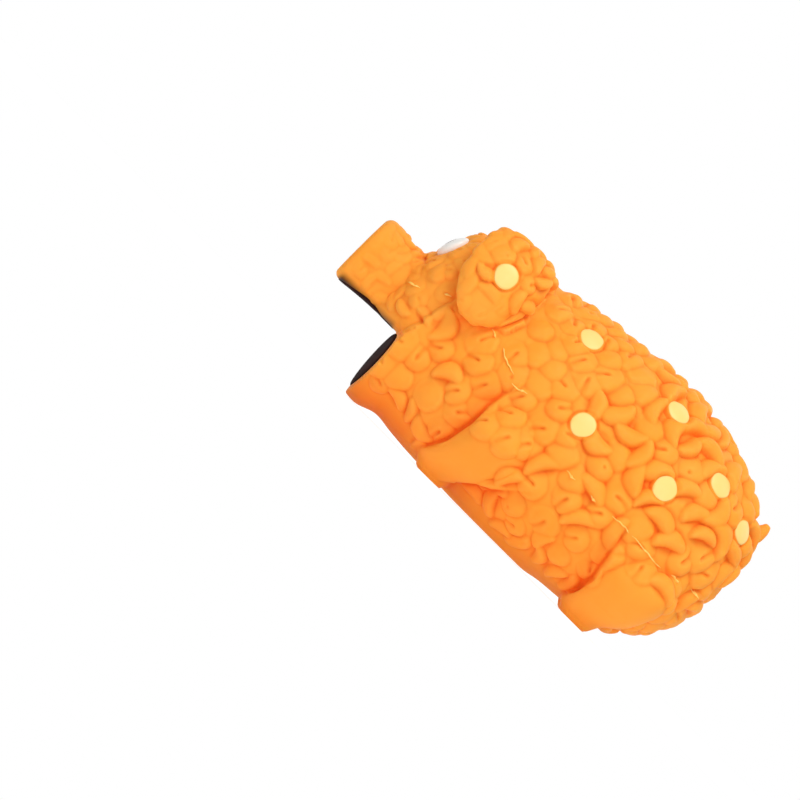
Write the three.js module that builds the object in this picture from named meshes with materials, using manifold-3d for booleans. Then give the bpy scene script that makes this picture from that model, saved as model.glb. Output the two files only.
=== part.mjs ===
import * as THREE from 'three';
import { mergeVertices } from 'three/addons/utils/BufferGeometryUtils.js';
import Module from 'manifold-3d';

// A squeaky dog toy: a fat little pig moulded in soft latex and stuffed with fibre, on four stub feet.
// A bellows squeaker sits in the belly. Its base buttons into a moulded collar, and its sound leaves
// through a vent there. Pressing the back pushes a wad of stuffing onto the bellows, and the air plays
// the reed.
// Millimetres. +Z is up, the face looks towards -Y, the left side is +X, and the soles stand on z = 0.

const wasm = await Module();
wasm.setup();

// Body, from the wall of the open mouth to the rump
const trunkLength = 133.5;
const trunkHeight = 79.5;
const trunkHalfWidth = 36.6;
const girthHeight = 33; // the height at which the body is widest, where the mould parts
const skinWall = 2.2;
const fitGap = 0.35; // the gap between two pieces that touch
const neckReach = 23; // from the mouth wall back to the neck

// Head and snout
const faceReach = 26.5; // the snout's tip ahead of the mouth wall
const faceRoot = 12; // how far the face starts behind the mouth wall
const crownDrop = 9; // the forehead's top below the top of the back
const crownHeight = trunkHeight - crownDrop;
const mouthHeight = 25; // the mouth's roof above the floor
const snoutHeight = 26.6;
const snoutHalfWidth = 16.5;
const browSeam = 0.7; // how far ahead of the mouth wall the forehead joins the skull
const snoutSeam = 8.2; // how far ahead of the mouth wall the snout joins the forehead
const mouthRound = 95; // the radius of the bulging mouth wall, seen from above
const mouthLean = 0.14; // radians that the mouth wall leans back towards the chin
const cheekLean = 0.2; // radians that the cheeks lean back above the mouth
const lipWidth = 2.4;
const paintThickness = 0.5;
const palateHalfWidth = 11.5;
const palateWrap = 2; // how far the palate's paint climbs the snout's sides
const nostrilRadius = 2.7;
const nostrilDepth = 2.4;
const nostrilSpread = 6.4;
const nostrilHeightShare = 1.25; // of the nostril's width

// Eyes
const eyeRadius = 5.6;
const eyeBulge = 2.4;
const eyeSpread = 9.2;
const eyeStationShare = 0.44; // how far along the face the eyes sit
const eyeTurn = 0.12; // how far the eyes turn outwards, as a slope
const pupilRadius = 2.5;

// Ears
const earWidth = 26.6;
const earThickness = 7;
const earFoldDrop = 6.3; // the middle of the fold at its highest, below the top of the back
const earHeight = trunkHeight - earFoldDrop;
const earDrop = 28.6;
const earSpread = 29.4; // from the middle of the head to the middle of the hanging flap

// Legs and tail
const soleLength = 15.2;
const soleWidth = 11; // what the feet's rows take their half widths from
const soleSpread = 14.2; // from the middle of the toy to the middle of a sole
const tailLength = 9;
const tailRadius = 3.4;

// Coat
const lockPitch = 11; // from one row of locks to the next
const lockRise = 1.5; // how far a lock's free edge stands above the skin
const lockRoot = 0.3; // how far its root does
const lockReach = 3; // how far the middle of a free edge reaches past its ends
const lockStep = 0.9; // the foot of a free edge behind its top
const coatEdge = 11; // the skin below this height is smooth

// Painted spots
const spotRadius = 4.1;
const earSpotRadius = 4.05;

// Squeaker
const ventRadius = 2.4;
const flangeRadius = 11;
const flangeThickness = 1.1;
const flangeLift = 0.9; // the flange's outer face above the floor
const collarRim = 4; // the collar's width past the flange
const collarHeight = 6;
const plugRadius = 8;
const plateRadius = 17;
const plateThickness = 1.8;
const bellowsRadius = 16.2;
const bellowsFold = 3.6; // how deep each fold goes in
const bellowsWall = 0.9;
const bellowsFolds = 4;
const foldedHeight = 9; // the bellows pressed flat
const squeezeTravel = 12;
const bellowsHeight = foldedHeight + squeezeTravel;
const capThickness = 2.4;
const wellClearance = 1; // between the squeaker and the stuffing round it
const reedHolderRadius = 5;
const reedBoreRadius = 3.5;
const reedHolderLength = 12;
const socketWall = 1.2;
const socketDepthShare = 0.3; // how much of the reed holder its socket takes
const reedThickness = 0.35;
const reedWidth = 4.4;
const reedLength = 9;
const wedgeLength = 4.6;

// Mesh fineness
const trunkSides = 24;
const faceSides = 20;
const wallSides = 64;
const limbSides = 12;
const turnedSides = 20;
const spotSides = 14;
const eyeSides = 16;
const locksRound = 20;
const lockSides = 3;

// Overrun of a cutting tool past what it cuts, and how near two corners count as one
const overrun = 20;
const weldDistance = 0.0001;

const latexColour = 0xff9633;
const spotColour = 0xfde58a;
const latex = new THREE.MeshStandardMaterial({ color: latexColour, roughness: 0.62, metalness: 0 });
const spotPaint = new THREE.MeshStandardMaterial({ color: spotColour, roughness: 0.5, metalness: 0 });
const eyePaint = new THREE.MeshStandardMaterial({ color: 0xf2f1ec, roughness: 0.4, metalness: 0 });
const darkPaint = new THREE.MeshStandardMaterial({ color: 0x1d1210, roughness: 0.5, metalness: 0 });
const fibre = new THREE.MeshStandardMaterial({ color: 0xf4f3ee, roughness: 1, metalness: 0 });
const squeakerPlastic = new THREE.MeshStandardMaterial({ color: 0xe9ecee, roughness: 0.35, metalness: 0 });
const bellowsPlastic = new THREE.MeshStandardMaterial({ color: 0xd6dde2, roughness: 0.45, metalness: 0 });
const reedFilm = new THREE.MeshStandardMaterial({ color: 0xc9a24a, roughness: 0.3, metalness: 0.6 });

// Solids and geometry

function mergedGeometry(geometry) {
  const bare = geometry.clone();
  bare.deleteAttribute('normal');
  bare.deleteAttribute('uv');
  return mergeVertices(bare, weldDistance);
}

function solidOf(geometry) {
  const merged = mergedGeometry(geometry);
  return new wasm.Manifold(new wasm.Mesh({
    numProp: 3,
    vertProperties: merged.attributes.position.array,
    triVerts: new Uint32Array(merged.index.array),
  }));
}

function geometryOf(solid) {
  const mesh = solid.getMesh();
  const geometry = new THREE.BufferGeometry();
  const points = new Float32Array(mesh.numVert * 3);
  for (let i = 0; i < mesh.numVert; i += 1) {
    points.set(mesh.vertProperties.subarray(i * mesh.numProp, i * mesh.numProp + 3), i * 3);
  }
  geometry.setAttribute('position', new THREE.BufferAttribute(points, 3));
  geometry.setIndex(new THREE.BufferAttribute(new Uint32Array(mesh.triVerts), 1));
  const faceted = geometry.toNonIndexed();
  faceted.computeVertexNormals();
  return faceted;
}

function largestBody(solid) {
  const bodies = solid.decompose();
  return bodies.reduce((best, one) => (one.volume() > best.volume() ? one : best));
}

function piece(name, geometry, material) {
  const mesh = new THREE.Mesh(geometry, material);
  mesh.name = name;
  return mesh;
}

function placedSolid(geometry, position, rotation = new THREE.Euler()) {
  const place = new THREE.Matrix4().makeRotationFromEuler(rotation).setPosition(position);
  return solidOf(geometry.clone().applyMatrix4(place));
}

// A block with the given low and high corners
function block(low, high) {
  const size = high.clone().sub(low);
  const middle = low.clone().add(high).multiplyScalar(0.5);
  return placedSolid(new THREE.BoxGeometry(size.x, size.y, size.z), middle);
}

// A cylinder through a point, along a direction
function rod(centre, direction, radius, length, sides) {
  const turn = new THREE.Quaternion().setFromUnitVectors(new THREE.Vector3(0, 1, 0), direction);
  const place = new THREE.Matrix4().makeRotationFromQuaternion(turn).setPosition(centre);
  return solidOf(new THREE.CylinderGeometry(radius, radius, length, sides).applyMatrix4(place));
}

// The value of one column of a table at a share along it, on a smooth curve through the rows
function along(rows, share, column) {
  let i = 0;
  while (i < rows.length - 2 && share > rows[i + 1][0]) i += 1;
  const slope = (j) => {
    const a = rows[Math.max(j - 1, 0)];
    const b = rows[Math.min(j + 1, rows.length - 1)];
    return (b[column] - a[column]) / (b[0] - a[0]);
  };
  const [from, to] = [rows[i], rows[i + 1]];
  const span = to[0] - from[0];
  const t = (share - from[0]) / span;
  const rise = to[column] - from[column];
  const bendFrom = slope(i) * span - rise;
  const bendTo = rise - slope(i + 1) * span;
  return from[column] + t * rise + t * (1 - t) * ((1 - t) * bendFrom + t * bendTo);
}

// A sine or cosine bent to a superellipse
const squared = (value, power) => Math.sign(value) * Math.abs(value) ** (2 / power);

// A closed surface through rings of points, each ring with the same number of them
function surfaceThrough(rings) {
  const sides = rings[0].length;
  const last = rings.length - 1;
  const faces = [];
  for (let r = 0; r < last; r += 1) {
    for (let k = 0; k < sides; k += 1) {
      const [a, b] = [r * sides + k, r * sides + ((k + 1) % sides)];
      faces.push(a, b, b + sides, a, b + sides, a + sides);
    }
  }
  const points = rings.flat();
  const [startPole, endPole] = [points.length, points.length + 1];
  const middle = (ring) => new THREE.Box3().setFromPoints(ring).getCenter(new THREE.Vector3());
  points.push(middle(rings[0]), middle(rings[last]));
  for (let k = 0; k < sides; k += 1) {
    const next = (k + 1) % sides;
    faces.push(startPole, next, k);
    faces.push(endPole, last * sides + k, last * sides + next);
  }
  const geometry = new THREE.BufferGeometry().setFromPoints(points);
  geometry.setIndex(faces);
  return facingOut(geometry);
}

// A closed surface through sections. Each has a centre, a sideways and an upward radius vector, a downward
// one where it differs, and the power of its superellipse above and below.
function loft(sections, sides) {
  return surfaceThrough(sections.map(({ centre, side, up, down = up, powers = [2, 2] }) => {
    const ring = [];
    for (let k = 0; k < sides; k += 1) {
      const angle = (2 * Math.PI * k) / sides;
      const above = Math.sin(angle) >= 0;
      const power = powers[above ? 0 : 1];
      const sideways = squared(Math.cos(angle), power);
      const upwards = squared(Math.sin(angle), power);
      ring.push(centre.clone().addScaledVector(side, sideways).addScaledVector(above ? up : down, upwards));
    }
    return ring;
  }));
}

function facingOut(geometry) {
  const index = geometry.index.array;
  const at = (i) => new THREE.Vector3().fromBufferAttribute(geometry.attributes.position, index[i]);
  let volume = 0;
  for (let i = 0; i < index.length; i += 3) volume += at(i).dot(at(i + 1).cross(at(i + 2)));
  if (volume < 0) {
    for (let i = 0; i < index.length; i += 3) [index[i + 1], index[i + 2]] = [index[i + 2], index[i + 1]];
  }
  return geometry;
}

// The same surface moved out by a distance, or in where it is negative
function grown(geometry, distance) {
  const moved = mergedGeometry(geometry);
  moved.computeVertexNormals();
  const { position, normal } = moved.attributes;
  for (let i = 0; i < position.count; i += 1) {
    position.setXYZ(
      i,
      position.getX(i) + normal.getX(i) * distance,
      position.getY(i) + normal.getY(i) * distance,
      position.getZ(i) + normal.getZ(i) * distance,
    );
  }
  return moved;
}

// Trunk: head and body in one barrel

// Each row is the station as a share of the trunk's length, then top and bottom as shares of its height
// and the half width as a share of the body's
const trunkShares = [
  [-0.06, 0.820, 0.030, 0.670],
  [0, 0.851, 0.017, 0.688],
  [0.035, 0.884, 0.006, 0.723],
  [0.065, 0.906, 0.006, 0.726],
  [0.115, 0.918, 0.033, 0.720],
  [0.17, 0.922, 0.024, 0.774],
  [0.235, 0.931, 0.015, 0.849],
  [0.35, 0.963, 0.009, 0.930],
  [0.46, 0.985, 0.006, 0.978],
  [0.58, 1, 0.011, 1],
  [0.67, 0.996, 0.021, 0.995],
  [0.755, 0.970, 0.032, 0.957],
  [0.825, 0.938, 0.048, 0.892],
  [0.87, 0.906, 0.069, 0.823],
  [0.91, 0.864, 0.119, 0.726],
  [0.95, 0.816, 0.179, 0.599],
  [0.978, 0.765, 0.255, 0.445],
  [0.994, 0.702, 0.340, 0.274],
];
const upperPower = 2.15;
const lowerPower = 2.4;

const rumpY = (trunkLength + faceReach) / 2;
const mouthY = rumpY - trunkLength;
const neckY = mouthY + neckReach;
const stationY = (share) => mouthY + share * trunkLength;

function trunkRing(share) {
  const top = along(trunkShares, share, 1) * trunkHeight;
  const bottom = along(trunkShares, share, 2) * trunkHeight;
  const middle = bottom + (top - bottom) * (girthHeight / trunkHeight);
  return {
    centre: new THREE.Vector3(0, stationY(share), middle),
    side: new THREE.Vector3(along(trunkShares, share, 3) * trunkHalfWidth, 0, 0),
    up: new THREE.Vector3(0, 0, top - middle),
    down: new THREE.Vector3(0, 0, middle - bottom),
    powers: [upperPower, lowerPower],
  };
}

// The rump closes on a ring that is as good as a point
const rumpShare = 0.08;
const rumpRing = {
  ...trunkRing(1),
  centre: new THREE.Vector3(0, rumpY, trunkRing(trunkShares[trunkShares.length - 1][0]).centre.z),
  side: new THREE.Vector3(trunkHalfWidth * rumpShare, 0, 0),
  up: new THREE.Vector3(0, 0, trunkHeight * rumpShare),
  down: new THREE.Vector3(0, 0, trunkHeight * rumpShare),
};
const trunk = loft([...trunkShares.map((row) => trunkRing(row[0])), rumpRing], trunkSides);

// A point on the trunk's side at a station and a height, with the outward normal there
function trunkSpot(side, stationShare, height) {
  const surface = (share, z) => {
    const ring = trunkRing(share);
    const above = z >= ring.centre.z;
    const reach = (above ? ring.up.z : ring.down.z);
    const rise = Math.min(Math.abs(z - ring.centre.z) / reach, 1);
    const power = ring.powers[above ? 0 : 1];
    return new THREE.Vector3(side * ring.side.x * (1 - rise ** power) ** (1 / power), ring.centre.y, z);
  };
  const nudgeShare = 0.004;
  const point = surface(stationShare, height);
  const behindIt = surface(stationShare + nudgeShare, height);
  const backwards = behindIt.sub(surface(stationShare - nudgeShare, height));
  const lift = nudgeShare * trunkHeight;
  const upwards = surface(stationShare, height + lift).sub(surface(stationShare, height - lift));
  const normal = backwards.cross(upwards).normalize().multiplyScalar(side);
  return { point, normal: normal.x * side < 0 ? normal.negate() : normal };
}

// Face: forehead running into the snout

// Each row is the station as a share of the face's length, the top as a share of the way from snout to crown,
// the bottom as a share of the snout's height, and the half width as a share of the snout's
const faceShares = [
  [0, 1, 0.053, 1.45],
  [0.21, 0.974, 0.049, 1.43],
  [0.315, 0.868, 0.045, 1.37],
  [0.39, 0.677, 0.045, 1.25],
  [0.45, 0.392, 0.045, 1.10],
  [0.495, 0.127, 0.049, 0.96],
  [0.54, -0.042, 0.045, 0.86],
  [0.655, -0.085, 0.038, 0.83],
  [0.805, -0.048, 0.019, 0.90],
  [0.915, -0.005, 0.004, 0.99],
  [0.975, -0.016, 0.004, 1],
  [0.994, -0.06, 0.03, 0.95],
];
const faceLength = faceRoot + faceReach;
const snoutTop = mouthHeight + snoutHeight;
const facePower = 2.35;
const faceLowerPower = 4; // the underside is nearly flat

function faceRing(share) {
  const top = snoutTop + along(faceShares, share, 1) * (crownHeight - snoutTop);
  const bottom = mouthHeight + along(faceShares, share, 2) * snoutHeight;
  return {
    centre: new THREE.Vector3(0, mouthY + faceRoot - share * faceLength, (top + bottom) / 2),
    side: new THREE.Vector3(along(faceShares, share, 3) * snoutHalfWidth, 0, 0),
    up: new THREE.Vector3(0, 0, (top - bottom) / 2),
    powers: [facePower, faceLowerPower],
  };
}

const snoutRimShare = 0.9;
const snoutTipRing = faceRing(faceShares[faceShares.length - 1][0]);
snoutTipRing.centre.y = mouthY - faceReach;
snoutTipRing.side.multiplyScalar(snoutRimShare);
snoutTipRing.up.multiplyScalar(snoutRimShare);
const face = loft([...faceShares.map((row) => faceRing(row[0])), snoutTipRing], faceSides);
const browY = mouthY - browSeam;
const snoutRootY = mouthY - snoutSeam;

// Cutting planes, as blocks that keep one side

const far = trunkLength + faceReach + overrun;
const behind = (y) => block(new THREE.Vector3(-far, y, -far), new THREE.Vector3(far, far, far));
const ahead = (y) => block(new THREE.Vector3(-far, -far, -far), new THREE.Vector3(far, y, far));
const below = (z) => block(new THREE.Vector3(-far, -far, -far), new THREE.Vector3(far, far, z));
const above = (z) => block(new THREE.Vector3(-far, -far, z), new THREE.Vector3(far, far, far));

// What lies behind a bulging wall through the mouth's upper edge, the wall being set back by a depth.
// A positive lean takes the wall back towards the floor.
function behindWall(depth, lean) {
  const back = new THREE.Vector3(0, Math.cos(lean), Math.sin(lean));
  const up = new THREE.Vector3(0, -Math.sin(lean), Math.cos(lean));
  const centre = new THREE.Vector3(0, mouthY, mouthHeight).addScaledVector(back, mouthRound);
  return rod(centre, up, mouthRound - depth, 2 * far, wallSides);
}

// The trunk behind its jaw and cheeks, moved out by a distance, with those walls set back by a depth
const behindWalls = (depth) => behindWall(depth, mouthLean).intersect(behindWall(depth, -cheekLean));
const barrel = (distance, depth = -distance) => solidOf(grown(trunk, distance)).intersect(behindWalls(depth));

// Trunk and face together, moved out by a distance
const headAndBody = (distance) => barrel(distance).add(solidOf(grown(face, distance)));

const outside = headAndBody(0);
const inside = headAndBody(-skinWall);
const around = headAndBody(fitGap);
const stuffing = headAndBody(-skinWall - fitGap);

// Squeaker seat in the belly

const squeakerShare = 0.52; // how far along the trunk the squeaker stands
const squeakerY = stationY(squeakerShare);
const axisUp = new THREE.Vector3(0, 0, 1);
const squeakerRod = (radius, low, high, sides = turnedSides) => (
  rod(new THREE.Vector3(0, squeakerY, (low + high) / 2), axisUp, radius, high - low, sides)
);
const collarRadius = flangeRadius + collarRim;
const flangeTop = flangeLift + flangeThickness;
const plateBottom = collarHeight + fitGap;
const plateTop = plateBottom + plateThickness;
const bellowsBottom = plateTop + fitGap;
const bellowsTop = bellowsBottom + bellowsHeight;
const capBottom = bellowsTop + fitGap;
const capTop = capBottom + capThickness;
const wellRadius = Math.max(plateRadius, bellowsRadius) + wellClearance;

const collar = squeakerRod(collarRadius, -overrun, collarHeight).intersect(outside);
const neckHole = squeakerRod(plugRadius + fitGap, -overrun, collarHeight + fitGap);
const seat = squeakerRod(flangeRadius + fitGap, -overrun, flangeTop + fitGap).add(neckHole);

// Ears, legs and spots: their forms and places

// Ears: a flap that leaves the crown, turns over and hangs. Each row is the share of the spread, the share
// of the drop, the half width as a share of the ear's, and the outer and inner half thickness as shares of
// the ear's thickness.
const earShares = [
  [0.34, 0.12, 0.66, 0.40, 1.1],
  [0.58, 0.03, 0.86, 0.50, 1.5],
  [0.80, 0.06, 0.97, 0.50, 1.5],
  [0.94, 0.22, 1, 0.50, 1.3],
  [1, 0.46, 0.97, 0.50, 1.1],
  [1.01, 0.68, 0.84, 0.48, 0.9],
  [1.01, 0.85, 0.60, 0.42, 0.8],
  [1, 0.96, 0.30, 0.30, 0.6],
  [1, 1, 0.12, 0.16, 0.3],
];
const earPower = 2.6;
const earStationShare = 0.105;
const earY = stationY(earStationShare);

function earGeometry(side, growth = 0) {
  const spine = earShares.map(([out, drop]) => (
    new THREE.Vector3(side * out * earSpread, earY, earHeight - drop * earDrop)
  ));
  const rings = spine.map((centre, i) => {
    const next = spine[Math.min(i + 1, spine.length - 1)];
    const last = spine[Math.max(i - 1, 0)];
    const run = next.clone().sub(last).normalize();
    const outward = new THREE.Vector3(-run.z * side, 0, run.x * side);
    return {
      centre,
      side: new THREE.Vector3(0, (earShares[i][2] * earWidth) / 2, 0),
      up: outward.clone().multiplyScalar(earShares[i][3] * earThickness),
      down: outward.clone().multiplyScalar(earShares[i][4] * earThickness),
      powers: [earPower, earPower],
    };
  });
  const geometry = loft(rings, limbSides);
  return growth ? grown(geometry, growth) : geometry;
}

// Legs: each row is the height as a share of the girth height, the sideways place as a share of the body's
// half width, the half width as a share of the leg's width there, the half length as a share of the sole's
// length, and the step behind the sole in lengths of it. The last row is under the floor, where the sole is
// cut flat.
const frontLegShares = [
  [1.30, 0.66, 0.50, 0.44, 0.74],
  [1.06, 0.76, 0.70, 0.58, 0.66],
  [0.86, 0.77, 0.92, 0.70, 0.62],
  [0.66, 0.75, 1, 0.76, 0.60],
  [0.36, 0.64, 0.90, 0.66, 0.40],
  [0.17, 0.50, 0.70, 0.56, 0.07],
  [0.06, 0.41, 0.56, 0.50, 0],
  [-0.02, 0.382, 0.42, 0.38, 0],
];
const rearLegShares = [
  [1.22, 0.56, 0.44, 0.44, 0.54],
  [1.02, 0.62, 0.62, 0.56, 0.52],
  [0.86, 0.67, 0.82, 0.74, 0.50],
  [0.66, 0.68, 0.98, 0.82, 0.46],
  [0.36, 0.60, 0.92, 0.68, 0.34],
  [0.17, 0.485, 0.70, 0.56, 0.07],
  [0.06, 0.41, 0.56, 0.50, 0],
  [-0.02, 0.382, 0.42, 0.38, 0],
];
const legPower = 2.3;
const legRootWidthShare = 0.3; // the leg's width where it leaves the body, of the body's half width
const footHeightShare = 0.36; // of the girth height: up to there the foot's sizes turn into the body's

function legGeometry(side, rows, soleY, growth = 0) {
  const soleOutShare = rows[rows.length - 1][1];
  const rings = rows.map(([height, out, halfWidth, halfLength, step]) => {
    const rootward = THREE.MathUtils.clamp(height / footHeightShare, 0, 1);
    const reach = THREE.MathUtils.lerp(soleSpread / soleOutShare, trunkHalfWidth, rootward);
    const width = THREE.MathUtils.lerp(soleWidth, legRootWidthShare * trunkHalfWidth, rootward);
    return {
      centre: new THREE.Vector3(side * out * reach, soleY + step * soleLength, height * girthHeight),
      side: new THREE.Vector3(halfWidth * width, 0, 0),
      up: new THREE.Vector3(0, halfLength * soleLength, 0),
      powers: [legPower, legPower],
    };
  });
  const geometry = loft(rings, limbSides);
  return growth ? grown(geometry, growth) : geometry;
}

const soleStationShares = { front: 0.309, rear: 0.798 };
const frontSoleY = stationY(soleStationShares.front);
const rearSoleY = stationY(soleStationShares.rear);
const sides = [['left', 1], ['right', -1]];

// Each row is the station share and the height share of a spot; the two sides were painted by hand and differ
const spotShares = {
  left: [[0.358, 0.862], [0.63, 0.902], [0.825, 0.813], [0.944, 0.745], [0.487, 0.592], [0.733, 0.644]],
  right: [[0.395, 0.848], [0.594, 0.890], [0.74, 0.845], [0.93, 0.680], [0.49, 0.585], [0.803, 0.595]],
};
const earSpotShare = 0.34; // how far down its ear the spot is

// Tail: a short curl. Each row is the way back and the way up as shares of its length, and the radius share
const tailShares = [
  [-0.45, -0.50, 0.95],
  [-0.05, -0.25, 1],
  [0.14, 0.05, 0.88],
  [0.24, 0.35, 0.62],
  [0.26, 0.62, 0.30],
];
const tailRootShares = [0.5, 0.775]; // ahead of the rump, in tail lengths, and up, in trunk heights
const tailRootY = rumpY - tailRootShares[0] * tailLength;
const tailRootZ = tailRootShares[1] * trunkHeight;
const tailSpine = tailShares.map((row) => (
  new THREE.Vector3(0, tailRootY + row[0] * tailLength, tailRootZ + row[1] * tailLength)
));
const tailRings = tailSpine.map((centre, i) => {
  const next = tailSpine[Math.min(i + 1, tailSpine.length - 1)];
  const last = tailSpine[Math.max(i - 1, 0)];
  const run = next.clone().sub(last).normalize();
  const radius = tailShares[i][2] * tailRadius;
  return {
    centre,
    side: new THREE.Vector3(radius, 0, 0),
    up: new THREE.Vector3(0, -run.z, run.y).multiplyScalar(radius),
  };
});
const tailGeometry = loft(tailRings, limbSides);

// Coat: rows of wool locks round the trunk, which lie on each other like shingles. A row rises from its
// roots to its free edges, which point backwards, and drops to the roots of the next. The wool leaves room
// round the ears, the legs, the tail and the spots, and ends above the smooth belly.
const coatStationShares = [0.045, 0.95];
const lockEndShare = 0.35; // the rise at the ends of a free edge, of the rise in its middle
const lockWildShare = 0.5; // how much the locks differ in height and in length
const scatterTurn = 127.1;
const scatterStretch = 4375.8;

// A number between -0.5 and 0.5 that looks random and is always the same for the same seed
function scatter(seed) {
  const wave = Math.sin(seed * scatterTurn) * scatterStretch;
  return wave - Math.floor(wave) - 1 / 2;
}

// A point on the trunk at a station and an angle from its top, with the outward normal there
function trunkPlace(stationShare, angle) {
  const surface = (share, turn) => {
    const ring = trunkRing(share);
    const upper = Math.cos(turn) >= 0;
    const power = ring.powers[upper ? 0 : 1];
    const out = squared(Math.sin(turn), power) * ring.side.x;
    const rise = squared(Math.cos(turn), power) * (upper ? ring.up.z : ring.down.z);
    return ring.centre.clone().add(new THREE.Vector3(out, 0, rise));
  };
  const nudgeShare = 0.01;
  const point = surface(stationShare, angle);
  const back = surface(stationShare + nudgeShare, angle).sub(surface(stationShare - nudgeShare, angle));
  const round = surface(stationShare, angle + nudgeShare).sub(surface(stationShare, angle - nudgeShare));
  return { point, normal: round.cross(back).normalize() };
}

function coatGeometry() {
  const [first, last] = coatStationShares;
  const rows = Math.round(((last - first) * trunkLength) / lockPitch);
  const columns = locksRound * lockSides;
  const isMiddle = (row, k) => (k + row) % lockSides > 0;
  const lockOf = (row, k) => row * locksRound + Math.floor(((k + row) % columns) / lockSides);
  const wild = (row, k) => 1 + lockWildShare * scatter(lockOf(row, k));
  const ring = (placeOf) => {
    const points = [];
    for (let k = 0; k < columns; k += 1) {
      const { back, rise } = placeOf(k);
      const { point, normal } = trunkPlace(first + back / trunkLength, (2 * Math.PI * k) / columns);
      points.push(point.addScaledVector(normal, point.z > coatEdge ? rise : -lockRise));
    }
    return points;
  };
  const pitch = ((last - first) * trunkLength) / rows;
  const edge = (row, k) => ({
    back: (row + 1) * pitch + (isMiddle(row, k) ? lockReach * wild(row, k) : 0) - lockReach,
    rise: lockRise * (isMiddle(row, k) ? wild(row, k) : lockEndShare),
  });
  const rings = [ring(() => ({ back: 0, rise: -lockRise }))];
  for (let row = 0; row < rows; row += 1) {
    rings.push(ring((k) => edge(row, k)));
    rings.push(ring((k) => ({ back: edge(row, k).back + lockStep, rise: lockRoot })));
  }
  rings.push(ring(() => ({ back: rows * pitch + lockReach, rise: -lockRise })));
  return surfaceThrough(rings);
}

const spotRoom = fitGap + paintThickness;
const room = sides.flatMap(([label, side]) => [
  solidOf(earGeometry(side, fitGap)),
  solidOf(legGeometry(side, frontLegShares, frontSoleY, fitGap)),
  solidOf(legGeometry(side, rearLegShares, rearSoleY, fitGap)),
  ...spotShares[label].map(([station, height]) => {
    const { point, normal } = trunkSpot(side, station, height * trunkHeight);
    return rod(point, normal, spotRadius + spotRoom, 2 * spotRadius, spotSides);
  }),
]);
const coat = solidOf(coatGeometry())
  .subtract(wasm.Manifold.union(room))
  .subtract(solidOf(grown(tailGeometry, fitGap)))
  .intersect(behindWalls(0));

// Skin

function nostril(side, radius, back, front) {
  const middle = (snoutTop + mouthHeight) / 2;
  const hole = new THREE.CylinderGeometry(radius, radius, front - back, spotSides);
  hole.scale(1, 1, nostrilHeightShare);
  return placedSolid(hole, new THREE.Vector3(side * nostrilSpread, (back + front) / 2, middle));
}

const snoutTipY = mouthY - faceReach;
const nostrils = nostril(1, nostrilRadius, snoutTipY - overrun, snoutTipY + nostrilDepth)
  .add(nostril(-1, nostrilRadius, snoutTipY - overrun, snoutTipY + nostrilDepth));
const nostrilWalls = nostril(1, nostrilRadius + skinWall, snoutTipY, snoutTipY + nostrilDepth + skinWall)
  .add(nostril(-1, nostrilRadius + skinWall, snoutTipY, snoutTipY + nostrilDepth + skinWall));

const shell = outside.add(coat).subtract(inside);
const bodySkin = shell.add(collar).subtract(seat).intersect(behind(neckY + fitGap / 2));
const headSkin = shell.intersect(ahead(neckY - fitGap / 2)).intersect(behind(browY + fitGap / 2));
const browSkin = shell.intersect(ahead(browY - fitGap / 2)).intersect(behind(snoutRootY + fitGap / 2));
const snoutSkin = shell.add(nostrilWalls.intersect(outside)).subtract(nostrils)
  .intersect(ahead(snoutRootY - fitGap / 2));

const toy = new THREE.Group();
const skin = new THREE.Group();
toy.add(skin);
skin.add(piece('body_skin', geometryOf(largestBody(bodySkin)), latex));
skin.add(piece('head_skin', geometryOf(largestBody(headSkin)), latex));
skin.add(piece('brow_skin', geometryOf(largestBody(browSkin)), latex));
skin.add(piece('snout_skin', geometryOf(largestBody(snoutSkin)), latex));

sides.forEach(([label, side]) => {
  const ear = solidOf(earGeometry(side)).subtract(around);
  const leg = (rows, soleY) => solidOf(legGeometry(side, rows, soleY)).subtract(around).intersect(above(0));
  const frontLeg = leg(frontLegShares, frontSoleY);
  const rearLeg = leg(rearLegShares, rearSoleY);
  skin.add(piece(`ear_${label}`, geometryOf(largestBody(ear)), latex));
  skin.add(piece(`leg_front_${label}`, geometryOf(largestBody(frontLeg)), latex));
  skin.add(piece(`leg_rear_${label}`, geometryOf(largestBody(rearLeg)), latex));
});

const tail = solidOf(tailGeometry).subtract(around);
skin.add(piece('tail', geometryOf(largestBody(tail)), latex));

// Painted parts
const paint = new THREE.Group();
toy.add(paint);

const film = headAndBody(fitGap + paintThickness).subtract(around);
const jawRoom = solidOf(grown(trunk, -lipWidth)).intersect(below(mouthHeight - lipWidth / 2));
const mouthFilm = barrel(-lipWidth, -fitGap - paintThickness)
  .subtract(behindWall(-fitGap, mouthLean))
  .intersect(jawRoom);
paint.add(piece('mouth_lining', geometryOf(largestBody(mouthFilm)), darkPaint));

const palateRoom = block(
  new THREE.Vector3(-palateHalfWidth, snoutTipY + lipWidth + fitGap, mouthHeight - overrun),
  new THREE.Vector3(palateHalfWidth, mouthY - lipWidth, mouthHeight + palateWrap),
);
paint.add(piece('palate', geometryOf(largestBody(film.intersect(palateRoom))), darkPaint));

// A spot of paint on the trunk or face
function spotOn(place, radius) {
  return largestBody(film.intersect(rod(place.point, place.normal, radius, 2 * radius, spotSides)));
}

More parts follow.
